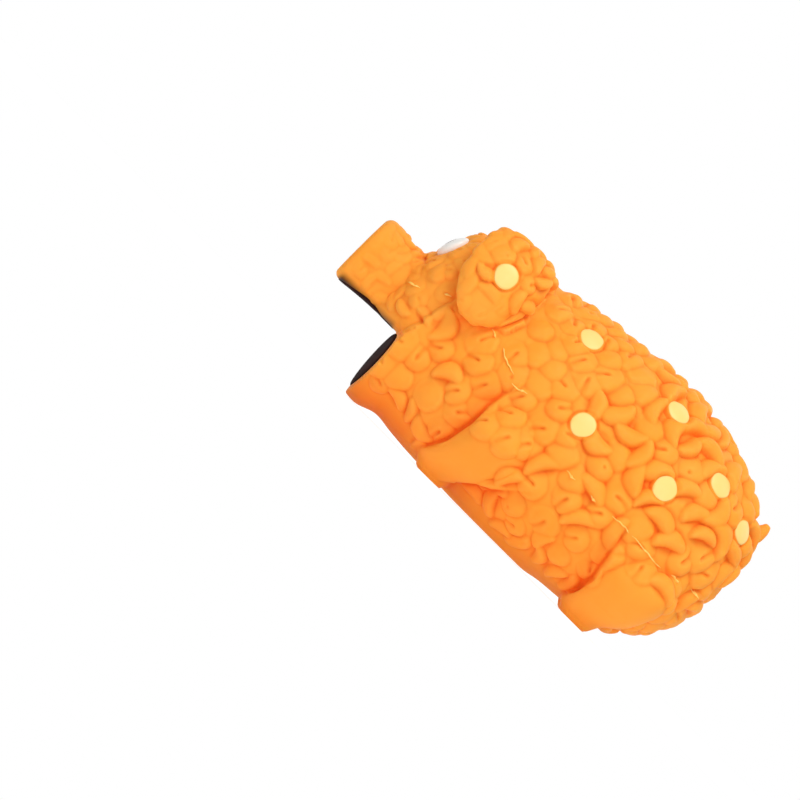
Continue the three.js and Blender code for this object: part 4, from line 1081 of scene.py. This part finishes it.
flank = np.clip((np.abs(blank[:, 0]) - FLANK_START) / FLANK_FADE, 0, 1)
fold_shade = np.zeros(len(blank))
for fold in LEG_FOLDS:
    gap, depth = beside(fold, blank[:, 1], blank[:, 2])
    low_side = 0.5 + 0.5 * np.tanh(gap / FOLD_EDGE)
    hollow = np.exp(-((gap / FOLD_REACH) ** 2))
    # Painted shade on the fold's low side, kept for the latex colour
    shade = FOLD_SHADE * flank * np.clip(depth, 0, 1) * low_side * np.exp(-((gap / SHADE_REACH) ** 2))
    fold_shade = np.maximum(fold_shade, shade)
    calm = 1 - flank * np.exp(-((gap / FOLD_CALM) ** 2)) * np.clip(depth, 0, 1)
    height = height * calm + flank * depth * hollow * (FOLD_SWELL * (1 - low_side) - low_side)
print("folds drop the skin by up to", round(float(-height.min()), 1), "mm")

# %% [markdown]
# The spots sit on flat pads with a thin groove round them, and the eyes on a smooth seat. Both are plain
# functions of the distance to a centre. With them the heights are complete, and the skin gets its shape.
# %% Pads for the spots and the eyes
SPOT_PAD, SPOT_FALL = 0.75, 0.25  # a pad's height in its middle, and how much lower its edge is
PAD_EDGE, PAD_SOFTNESS, SPOT_GROOVE = 0.35, 0.16, 0.5
EYE_SEAT, SEAT_EDGE, SEAT_SOFTNESS, EYE_GROOVE = 0.45, 1.0, 0.5, 0.35

for place, radius in spots.values():
    reach = np.linalg.norm(blank - place, axis=1)
    pad = SPOT_PAD - SPOT_FALL * (reach / radius) ** 2
    inside = soft_step(radius + PAD_EDGE - reach, PAD_SOFTNESS)
    groove = SPOT_GROOVE * np.exp(-(((reach - radius - 0.75) / 0.4) ** 2))
    near = reach < radius + 3
    height[near] = (height * (1 - inside) + pad * inside - groove)[near]
for place, _ in eyes.values():
    reach = np.linalg.norm(blank - place, axis=1)
    calm = soft_step(EYE_RADIUS + SEAT_EDGE - reach, SEAT_SOFTNESS)
    groove = EYE_GROOVE * np.exp(-(((reach - EYE_RADIUS) / 0.5) ** 2))
    height = height * (1 - calm) + EYE_SEAT * calm - groove
skin = blank + outward * height[:, None]
print("skin reaches", np.round(np.abs(skin).max(0), 1).tolist(), "mm")

# %% [markdown]
# Two details are pressed straight into the skin: the nostrils are dents in the snout's end, and the belly has
# a round recess for the squeaker's flange with a low rim, which hides the flange from the side.
# %% Nostrils and the squeaker's recess
NOSTRIL_RADIUS, NOSTRIL_DEPTH, NOSTRIL_OFFSET, NOSTRIL_TALL = 2.7, 2.4, 6.4, 1.25
NOSTRIL_Z = (SNOUT_TOP + MOUTH_HEIGHT) / 2
DENT_EDGE, DENT_SLOPE = 1.15, 0.5  # in nostril radii
SQUEAKER_Y = station_y(0.52)
FLANGE_RADIUS, FLANGE_SEAT, BELLY_LIMIT = 11.0, 2.45, 6.0
SEAT_ROOM, SEAT_SLOPE = 1.1, 0.8
RIM_HEIGHT, RIM_MIDDLE, RIM_INSIDE, RIM_OUTSIDE = 0.5, 2.8, 1.3, 5.0


def eased(t):
    """A share from 0 to 1 that starts and ends gently."""
    return t * t * (3 - 2 * t)


for _, side in SIDES:
    across = skin[:, 0] - side * NOSTRIL_OFFSET
    reach = np.hypot(across, (skin[:, 2] - NOSTRIL_Z) / NOSTRIL_TALL) / NOSTRIL_RADIUS
    dent = eased(np.clip((DENT_EDGE - reach) / DENT_SLOPE, 0, 1)) * (skin[:, 1] < SNOUT_TIP_Y + 4)
    skin[:, 1] += NOSTRIL_DEPTH * dent

reach = np.hypot(skin[:, 0], skin[:, 1] - SQUEAKER_Y)
under = (skin[:, 2] < BELLY_LIMIT) & (reach < FLANGE_RADIUS + 3)
seat = eased(np.clip((FLANGE_RADIUS + SEAT_ROOM - reach) / SEAT_SLOPE, 0, 1))
skin[:, 2] = np.where(under, skin[:, 2] + (FLANGE_SEAT - skin[:, 2]) * seat, skin[:, 2])
past_rim = reach - FLANGE_RADIUS - RIM_MIDDLE
rim = np.exp(-((past_rim / np.where(past_rim < 0, RIM_INSIDE, RIM_OUTSIDE)) ** 2))
rim *= skin[:, 2] < BELLY_LIMIT
skin[:, 2] += np.minimum(RIM_HEIGHT - skin[:, 2], 0) * rim
skin[:, 2] = np.maximum(skin[:, 2], 0)
print("squeaker at y", round(SQUEAKER_Y, 1), "mm")

# %% [markdown]
# With the surface final, two numbers are measured at every point for the painted shade and painted highlight
# of the latex finish: how deep it lies under the smoothed surface round it, and how far it stands proud of
# that. The low side of the folds and the chin's underside get painted shade as creases do. A third number is
# the dark spray that was blown on under the snout before the paint, with a soft edge up its sides.
# %% Measure creases, ridges and spray
# Depths at which a crease, a wide hollow and a ridge count in full
CREASE_DEPTH, WIDE_DEPTH, RIDGE_HEIGHT = 0.36, 1.5, 0.3
FINE_PART, WIDE_PART = 0.75, 0.5  # how much the first two add to the number for creases
CORNER_REACH, CORNER_PALER = 3.0, 0.8  # the mouth's corner is a crease that stays pale
CHIN_SHADE, CHIN_TOP, CHIN_FADE = 0.45, 13.0, 8.0  # how much painted shade darkens the latex under the chin
CHIN_Y = -20.0
SPRAY_TOP, SPRAY_FADE = 3.8, 3.4

skin_normals = quad_normals(skin, quads)
smooth_skin = weave.blurred(skin, 9)
smoother_skin = weave.blurred(smooth_skin, 60)
hollow = np.einsum("ij,ij->i", smooth_skin - skin, skin_normals)
wide_hollow = np.einsum("ij,ij->i", smoother_skin - skin, skin_normals)
crease_shade = np.clip(hollow / CREASE_DEPTH, 0, 1) * FINE_PART
crease_shade = weave.blurred(crease_shade + np.clip(wide_hollow / WIDE_DEPTH, 0, 1) * WIDE_PART, 1)
ridge_highlight = weave.blurred(np.clip(-hollow / RIDGE_HEIGHT, 0, 1), 1)
from_corner = (skin[:, 1] - MOUTH_Y) ** 2 + (skin[:, 2] - MOUTH_HEIGHT) ** 2
corner = np.exp(-from_corner / CORNER_REACH**2)
# Painted shade under the chin, added to the numbers for the creases
chin = np.clip((CHIN_TOP - skin[:, 2]) / CHIN_FADE, 0, 1) * np.clip((CHIN_Y - skin[:, 1]) / CHIN_FADE, 0, 1)
crease_shade = np.clip(crease_shade * (1 - CORNER_PALER * corner) + np.maximum(fold_shade, CHIN_SHADE * chin), 0, 1)

behind_tip = np.clip((skin[:, 1] - SNOUT_TIP_Y - 1.2) / 2.0, 0, 1)
before_wall = np.clip((MOUTH_Y + 0.5 - skin[:, 1]) / 1.5, 0, 1)
spray = np.clip((MOUTH_HEIGHT + SPRAY_TOP - skin[:, 2]) / SPRAY_FADE, 0, 1) * before_wall * behind_tip
spray = weave.blurred(eased(spray), 3)
print("means: crease", round(float(crease_shade.mean()), 3), "ridge_highlight", round(float(ridge_highlight.mean()), 3))


def quad_object(name, points, quads):
    """A smooth-shaded mesh object from arrays of points in millimetres and four-sided faces."""
    mesh = bpy.data.meshes.new(name)
    mesh.vertices.add(len(points))
    mesh.vertices.foreach_set("co", (points * MM).ravel())
    mesh.loops.add(quads.size)
    mesh.loops.foreach_set("vertex_index", quads.ravel())
    mesh.polygons.add(len(quads))
    mesh.polygons.foreach_set("loop_start", np.arange(0, quads.size, 4))
    mesh.update(calc_edges=True)
    mesh.shade_smooth()
    made = bpy.data.objects.new(name, mesh)
    bpy.context.collection.objects.link(made)
    return made


def soft_piece(made, finish, slot, *nodes):
    """Gives a soft piece of the toy its finish, hangs it on the toy's body and hides the CAD nodes it stands
    for.
    """
    made.data.materials.clear()
    made.data.materials.append(finish.material)
    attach(made, "toy")
    if nodes:
        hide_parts(*nodes)
    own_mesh(made)


coat = quad_object("latex_skin", skin, quads)
# Painted shade, painted highlight and the dark spray, as attributes for the latex colour
for name, values in (("crease_shade", crease_shade), ("ridge_highlight", ridge_highlight), ("spray", spray)):
    coat.data.attributes.new(name, "FLOAT", "POINT").data.foreach_set("value", values)
skin_nodes = ["body_skin", "head_skin", "brow_skin", "snout_skin", "tail"]
skin_nodes += [f"{form}_{label}" for form in ("ear", "leg_front", "leg_rear") for label, _ in SIDES]
soft_piece(coat, latex, "latex", *skin_nodes)
skin_tree = BVHTree.FromPolygons(skin.tolist(), [tuple(q) for q in quads.tolist()])
print("skin replaces", len(skin_nodes), "nodes")

# %% [markdown]
# Paint on a bumpy skin follows its bumps. Each painted mark is a thin film laid on the finished skin: a map
# of rings is held in front of the skin, and every point is dropped onto it along one direction. The outermost
# ring is then sunk under the surface, which gives the film a closed, rounded edge. Hand-painted outlines are
# never true circles, so the outline wavers a little.
# %% Paint marks
FILM_LIFT, FILM_SINK, DROP_REACH = 0.13, 0.5, 14.0
SPOT_WAVER = 0.03


def landed(point, way):
    """Where a drop of paint lands that flies past a point, or that point if it meets nothing."""
    start = Vector(point) - Vector(way) * DROP_REACH
    hit = skin_tree.ray_cast(start, Vector(way), 2 * DROP_REACH)[0]
    return np.asarray(point) if hit is None else np.array(hit)


def film_mark(name, rings, way, fullness=0.0):
    """A film over the skin through rings of points, the first of which is a single point.

    Fullness is how much thicker it is in the middle than at its edge.
    """
    count, last_ring = len(rings[1]), len(rings) - 1
    points = []
    for i, place in enumerate(np.vstack([*rings, rings[-1]])):
        ring = (i + count - 1) // count
        lift = FILM_LIFT + fullness * (1 - min(ring / last_ring, 1) ** 2) ** 0.5
        points.append(landed(place, way) - np.asarray(way) * (-FILM_SINK if ring > last_ring else lift))
    k = np.arange(count)
    following = (k + 1) % count
    faces = [(0, 1 + a, 1 + b) for a, b in zip(k.tolist(), following.tolist())]
    for r in range(last_ring):
        near, far = 1 + r * count, 1 + (r + 1) * count
        faces += np.stack([near + k, far + k, far + following, near + following], 1).tolist()
    made = new_object(name, np.array(points), faces)
    made.data.shade_smooth()
    return made


def paint_disc(name, place, normal, radius, seed):
    """A hand-painted disc."""
    draws = np.random.default_rng(seed).random(3)
    normal = normal / np.linalg.norm(normal)
    first = np.cross(normal, (0, 0, 1.0)) if abs(normal[2]) < 0.9 else np.cross(normal, (0, 1.0, 0))
    first /= np.linalg.norm(first)
    second = np.cross(normal, first)
    angle = np.linspace(0, 2 * np.pi, 48, endpoint=False)
    edge = 1 + SPOT_WAVER * (np.sin(2 * angle + 6.3 * draws[0]) + 0.6 * np.sin(3 * angle + 6.3 * draws[1]))
    edge += SPOT_WAVER * 0.5 * np.sin(5 * angle + 6.3 * draws[2])
    rings = [np.array([place])]
    for share in np.linspace(0.12, 1, 11):
        reach = radius * share * edge
        rings.append(place + np.outer(reach * np.cos(angle), first) + np.outer(reach * np.sin(angle), second))
    return film_mark(name, rings, -normal)


for seed, (name, (place, radius)) in enumerate(spots.items()):
    on_skin = np.array(skin_tree.find_nearest(Vector(place))[0])
    facing = outward[finder.find(Vector(place))[1]]
    soft_piece(paint_disc(name + "_paint", on_skin, facing, radius, seed), spot_paint, "spot_paint", name)
print("painted spots:", len(spots))

# %% [markdown]
# The mouth stands open: the whole wall under the snout is painted a brownish black inside a narrow lip. Its
# outline is found by walking out from the middle in every direction until the lip or the roof is met. The
# film is dropped onto the wall from in front, and it is fuller in the middle, where the paint pooled.
# %% Mouth
LIP_WIDTH, MOUTH_FULLNESS, MOUTH_MIDDLE_Z = 2.4, 1.2, 14.0
PALATE_HALF_WIDTH, ROOF_STEP = 11.5, 1.2  # beside the palate the mouth's roof is that much lower
mouth_angle = np.linspace(0, 2 * np.pi, 72, endpoint=False)
c, s = np.cos(mouth_angle), np.sin(mouth_angle)
mouth_middle = np.array([0, MOUTH_Y, MOUTH_MIDDLE_Z])
mouth_top = MOUTH_HEIGHT + 0.4
wall_centre, wall_width, _, wall_under = trunk_section(0.012)


def mouth_reach(cosine, sine):
    """How far the mouth's paint goes from its middle in one direction."""
    reaches = np.linspace(0.5, 40, 400)
    x, z = reaches * cosine, MOUTH_MIDDLE_Z + reaches * sine
    depth = np.maximum((wall_centre[2] - z) / (wall_under - LIP_WIDTH), 0)
    past_lip = (np.abs(x) / (wall_width - LIP_WIDTH)) ** LOWER_POWER + depth**LOWER_POWER > 1
    roof = np.where(np.abs(x) < PALATE_HALF_WIDTH, mouth_top, mouth_top - ROOF_STEP)
    return reaches[np.argmax(past_lip | (z > roof))]


far = np.array([mouth_reach(*pair) for pair in zip(c, s)])
far = np.convolve(np.concatenate([far[-2:], far, far[:2]]), np.ones(5) / 5, "valid")
rings = [mouth_middle[None]]
for share in np.linspace(0.06, 1, 17):
    rings.append(mouth_middle + np.stack([c * far * share, 0 * far, s * far * share], 1))
mouth = film_mark("mouth_paint", rings, np.array([0, 1.0, 0]), MOUTH_FULLNESS)
soft_piece(mouth, dark_paint, "dark_paint", "mouth_lining")
print("mouth:", round(2 * float((c * far).max()), 1), "mm wide")

# %% [markdown]
# The snout's underside is dark as well. That film is a nearly square patch, dropped onto it from below. The
# nostrils are small ovals painted in their dents from in front.
# %% Palate and nostrils
PALATE_FRONT, PALATE_BACK = SNOUT_TIP_Y + 2.6, MOUTH_Y - 0.2
PALATE_BEND = 2 / 7  # the patch is a rounded square
NOSTRIL_PAINT = 0.95  # of the dent's radius

palate_middle = np.array([0, (PALATE_FRONT + PALATE_BACK) / 2, MOUTH_HEIGHT])
palate_half = (PALATE_BACK - PALATE_FRONT) / 2
rings = [palate_middle[None]]
for share in np.linspace(0.06, 1, 15):
    x = np.sign(c) * np.abs(c) ** PALATE_BEND * (PALATE_HALF_WIDTH + 0.6) * share
    y = np.sign(s) * np.abs(s) ** PALATE_BEND * palate_half * share
    rings.append(palate_middle + np.stack([x, y, 0 * x], 1))
palate = film_mark("palate_paint", rings, np.array([0, 0, 1.0]))
soft_piece(palate, dark_paint, "dark_paint", "palate")

for label, side in SIDES:
    place = np.array([side * NOSTRIL_OFFSET, SNOUT_TIP_Y, NOSTRIL_Z])
    rings = [place[None]]
    for share in np.linspace(0.1, 1, 9):
        reach = NOSTRIL_RADIUS * NOSTRIL_PAINT * share
        rings.append(place + np.stack([c * reach, 0 * c, s * reach * NOSTRIL_TALL], 1))
    mark = film_mark(f"nostril_paint_{label}", rings, np.array([0, 1.0, 0]))
    soft_piece(mark, dark_paint, "dark_paint", f"nostril_{label}")
print("palate:", round(2 * palate_half, 1), "mm long")

# %% [markdown]
# An eye is a low dome, moulded with the skin and painted white, with a black pupil on it. The dome is turned
# from rings that follow a flattened ball, and it goes a little way under the skin, so no gap shows. The pupil
# is the tip of the same dome, a hair's breadth higher.
# %% Eyes
EYE_SINK, PUPIL_SINK, PUPIL_LIFT = 1.6, 0.3, 0.04


def dome(name, place, way, sink, lift=0.0, reach=1.0):
    """A flattened dome round a direction, from its tip down to a share of its radius, and then sunk."""
    turn = Vector((0, 0, 1)).rotation_difference(Vector(way)).to_matrix()
    angle = np.linspace(0, 2 * np.pi, 48, endpoint=False)
    rings = []
    for share in np.linspace(0.04, reach, 14):
        r, h = math.sin(share * math.pi / 2) * EYE_RADIUS, math.cos(share * math.pi / 2) * EYE_BULGE
        rings.append(np.stack([np.cos(angle) * r, np.sin(angle) * r, 0 * angle + h + lift], 1))
    skirt = rings[-1].copy()
    skirt[:, 2] -= sink
    rings.append(skirt)
    placed = [np.array([turn @ Vector(p) for p in ring]) + place for ring in rings]
    made = new_object(name, *loft(placed))
    made.data.shade_smooth()
    return made


pupil_reach = math.asin(PUPIL_RADIUS / EYE_RADIUS) / (math.pi / 2)
for label, _ in SIDES:
    place, way = eyes[label]
    white = dome(f"eye_white_{label}", place, way, EYE_SINK)
    soft_piece(white, eye_paint, "eye_paint", f"eye_{label}")
    pupil = dome(f"eye_pupil_{label}", place, way, PUPIL_SINK, PUPIL_LIFT, pupil_reach)
    soft_piece(pupil, dark_paint, "dark_paint", f"pupil_{label}")
print("eyes:", len(eyes))

# %% [markdown]
# Where the two halves of the mould met, thin flash was left standing: short, ragged, paler threads of latex
# along the flank and up past the ear. Each is a narrow bar on the skin that wavers, thins out to nothing at
# both ends and has one small blob, all from seeded chance. The stretches on the left side are where the
# photograph shows them; on the right side they are spread in the same way.
# %% Mould flash
# Start and end of each stretch as (y, z)
FLASH_LEFT = [
    ((18.0, 33.2), (22.0, 32.9)), ((29.0, 33.0), (31.6, 32.6)), ((38.6, 33.2), (46.0, 33.0)),
    ((47.6, 33.1), (61.5, 32.4)), ((65.5, 33.2), (69.0, 33.0)), ((73.6, 34.6), (77.6, 34.2)),
    ((-14.2, 40.6), (-8.2, 41.6)), ((-24.0, 46.6), (-15.6, 43.0)), ((-30.8, 48.4), (-27.8, 47.2)),
    ((-49.6, 45.6), (-47.4, 46.6)), ((-60.6, 40.2), (-56.4, 41.4)),
]
FLASH_RIGHT = [
    ((8.0, 33.4), (17.0, 33.0)), ((24.0, 32.8), (27.5, 33.2)), ((33.0, 33.0), (41.0, 33.3)),
    ((52.0, 33.0), (60.0, 32.8)), ((70.0, 33.6), (76.5, 34.4)), ((-12.5, 41.0), (-7.0, 40.2)),
    ((-25.0, 46.4), (-18.0, 43.8)), ((-50.5, 45.4), (-48.0, 46.4)), ((-62.0, 40.4), (-57.0, 41.2)),
]
THREAD_STEP, THREAD_WAVER, THREAD_TALL, THREAD_THICK, THREAD_SINK = 0.28, 0.15, 0.9, 0.34, 0.6
BLOB_REACH = 1.3  # in steps
FLASH_SEED = 40


def flash_thread(start, end, side, draws):
    """The points of one thread of flash, four to each step along it."""
    start, end = np.array(start), np.array(end)
    count = max(int(np.linalg.norm(end - start) / THREAD_STEP), 6)
    waver = np.cumsum(draws.normal(0, THREAD_WAVER, count + 4))
    waver = np.convolve(waver, np.ones(5) / 5, "valid")
    waver -= np.linspace(waver[0], waver[-1], count)
    ragged = 0.35 + 0.5 * draws.random(count)
    blob = np.exp(-(((np.arange(count) - draws.integers(2, count - 2)) / BLOB_REACH) ** 2))
    points = []
    for j in range(count):
        share = j / (count - 1)
        y, z = start + (end - start) * share
        hit = skin_tree.ray_cast(Vector((side * 60, y, z + waver[j])), Vector((-side, 0, 0)))[0]
        normal = Vector(outward[finder.find(hit)[1]])
        taper = math.sin(math.pi * min(max(share, 0.03), 0.97)) ** 0.5
        tall = THREAD_TALL * taper * (ragged[j] + 0.5 * blob[j])
        thick = THREAD_THICK * taper * (0.5 + 0.6 * ragged[(j * 7) % count] + 0.9 * blob[j])
        across = normal.cross(Vector((0, 1, 0))).normalized() * thick
        low, top = hit - normal * THREAD_SINK, hit + normal * tall
        points += [low - across, low + across, top + across * 0.6, top - across * 0.6]
    return points


def flash(name, stretches, side):
    """All the threads of one side, as four-sided bars with closed ends."""
    draws = np.random.default_rng(FLASH_SEED + side)
    points, faces = [], []
    for start, end in stretches:
        first = len(points)
        points += flash_thread(start, end, side, draws)
        last = len(points) - 4
        for near in range(first, last, 4):
            far = near + 4
            faces += [(near + k, near + (k + 1) % 4, far + (k + 1) % 4, far + k) for k in range(4)]
        faces += [(first + 3, first + 2, first + 1, first), (last, last + 1, last + 2, last + 3)]
    return new_object(name, [tuple(p) for p in points], faces)


for (label, side), stretches in zip(SIDES, (FLASH_LEFT, FLASH_RIGHT)):
    soft_piece(flash(f"mould_flash_{label}", stretches, side), flash_latex, "latex")
print("threads of flash:", len(FLASH_LEFT) + len(FLASH_RIGHT))

# %% [markdown]
# Inside the skin is a filling of loose polyester fibre, pushed round the squeaker, with a wad above it that
# carries a press on the back down to the squeaker's cap. The CAD solids have the right room, so each filling
# starts from its CAD mesh, is remeshed, and is made lumpy by noise that only ever pushes inwards.
# %% Stuffing
FLUFF_VOXEL, FLUFF_INSET, FLUFF_DEPTH = 2.0, 0.6, 0.8
LUMP_SIZE, TUFT_SIZE = 7, 3


def lump(place):
    """Large lumps and small tufts, about zero on average."""
    return lump_noise.noise(Vector(place) / LUMP_SIZE) + 0.5 * lump_noise.noise(Vector(place) / TUFT_SIZE)


def fluffy(name, node):
    """A lumpy copy of a CAD solid, inside its surface."""
    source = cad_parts[node].data
    solid = np.array([v.co[:] for v in source.vertices]) / MM
    soft, soft_quads = melted(solid, [tuple(p.vertices) for p in source.polygons], FLUFF_VOXEL)
    soft = Weave(soft_quads, len(soft)).smoothed(soft, 3)
    inset = FLUFF_INSET + FLUFF_DEPTH * np.clip(np.array([lump(p) for p in soft]) + 0.4, 0, 1.3)
    return quad_object(name, soft - quad_normals(soft, soft_quads) * inset[:, None], soft_quads)


for name, node in (("body_fibre", "body_stuffing"), ("head_fibre", "head_stuffing")):
    soft_piece(fluffy(name, node), fibre, "fibre", node)
wad = fluffy("back_fibre", "back_wad")
wad.data.materials.append(fibre.material)
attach(wad, "squeaker_top")
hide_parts("back_wad")
print("wad of fibre:", len(wad.data.vertices), "points")

# %% [markdown]
# The squeaker is a bought-in plastic piece. Its bellows is blown from a soft plastic, so its folds are round.
# A profile of a wavy wall, turned about the upright axis, gives that. On the real toy it flattens when the
# cap comes down; this mesh is made at its full height.
# %% The squeaker's bellows
BELLOWS_BOTTOM, BELLOWS_HEIGHT, BELLOWS_FOLDS = 8.5, 21.0, 4
BELLOWS_RADIUS, BELLOWS_FOLD, BELLOWS_WALL, FOLDED_HEIGHT = 16.2, 3.6, 0.9, 9.0


def turned(name, profile, centre, count=72):
    """A closed profile of (radius, height) turned about an upright axis."""
    radius, level = np.array(profile).T
    angle = np.linspace(0, 2 * np.pi, count, endpoint=False)
    slices = []
    for t in angle:
        x, y = centre[0] + np.cos(t) * radius, centre[1] + np.sin(t) * radius
        slices.append(np.stack([x, y, level], 1))
    rows = len(profile)
    k = np.arange(rows)
    following = (k + 1) % rows
    turns = []
    for j in range(count):
        near, far = j * rows, ((j + 1) % count) * rows
        turns.append(np.stack([near + k, far + k, far + following, near + following], 1))
    return quad_object(name, np.concatenate(slices), np.vstack(turns))


steps = np.linspace(0, 1, 24 * BELLOWS_FOLDS + 1)
wave = eased(0.5 + 0.5 * np.cos(steps * BELLOWS_FOLDS * 2 * np.pi))
outer_wall = BELLOWS_RADIUS - BELLOWS_FOLD * (1 - wave)
levels = BELLOWS_BOTTOM + steps * BELLOWS_HEIGHT
wall_profile = list(zip(outer_wall, levels))
wall_profile += [(radius - BELLOWS_WALL, level) for radius, level in reversed(wall_profile)]
bellows = turned("bellows_folds", wall_profile, (0, SQUEAKER_Y))
bellows.data.materials.append(bellows_plastic.material)
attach(bellows, "toy")
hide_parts("squeaker_bellows")
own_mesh(bellows)

# %% [markdown]
# The hard pieces of the squeaker have the right shape in CAD already, so they stay, and only their finishes
# are new: a cloudy white plastic, and brass for the reed.
# %% The squeaker's hard pieces
def finish_node(node, finish):
    """Gives a CAD node its finish."""
    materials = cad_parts[node].data.materials
    materials.clear()
    materials.append(finish.material)


HARD_NODES = ("squeaker_base", "squeaker_cap", "reed_holder", "reed_wedge_front", "reed_wedge_back")
for node in HARD_NODES:
    finish_node(node, squeaker_plastic)
finish_node("reed", reed_metal)
print("hard pieces:", len(HARD_NODES) + 1)
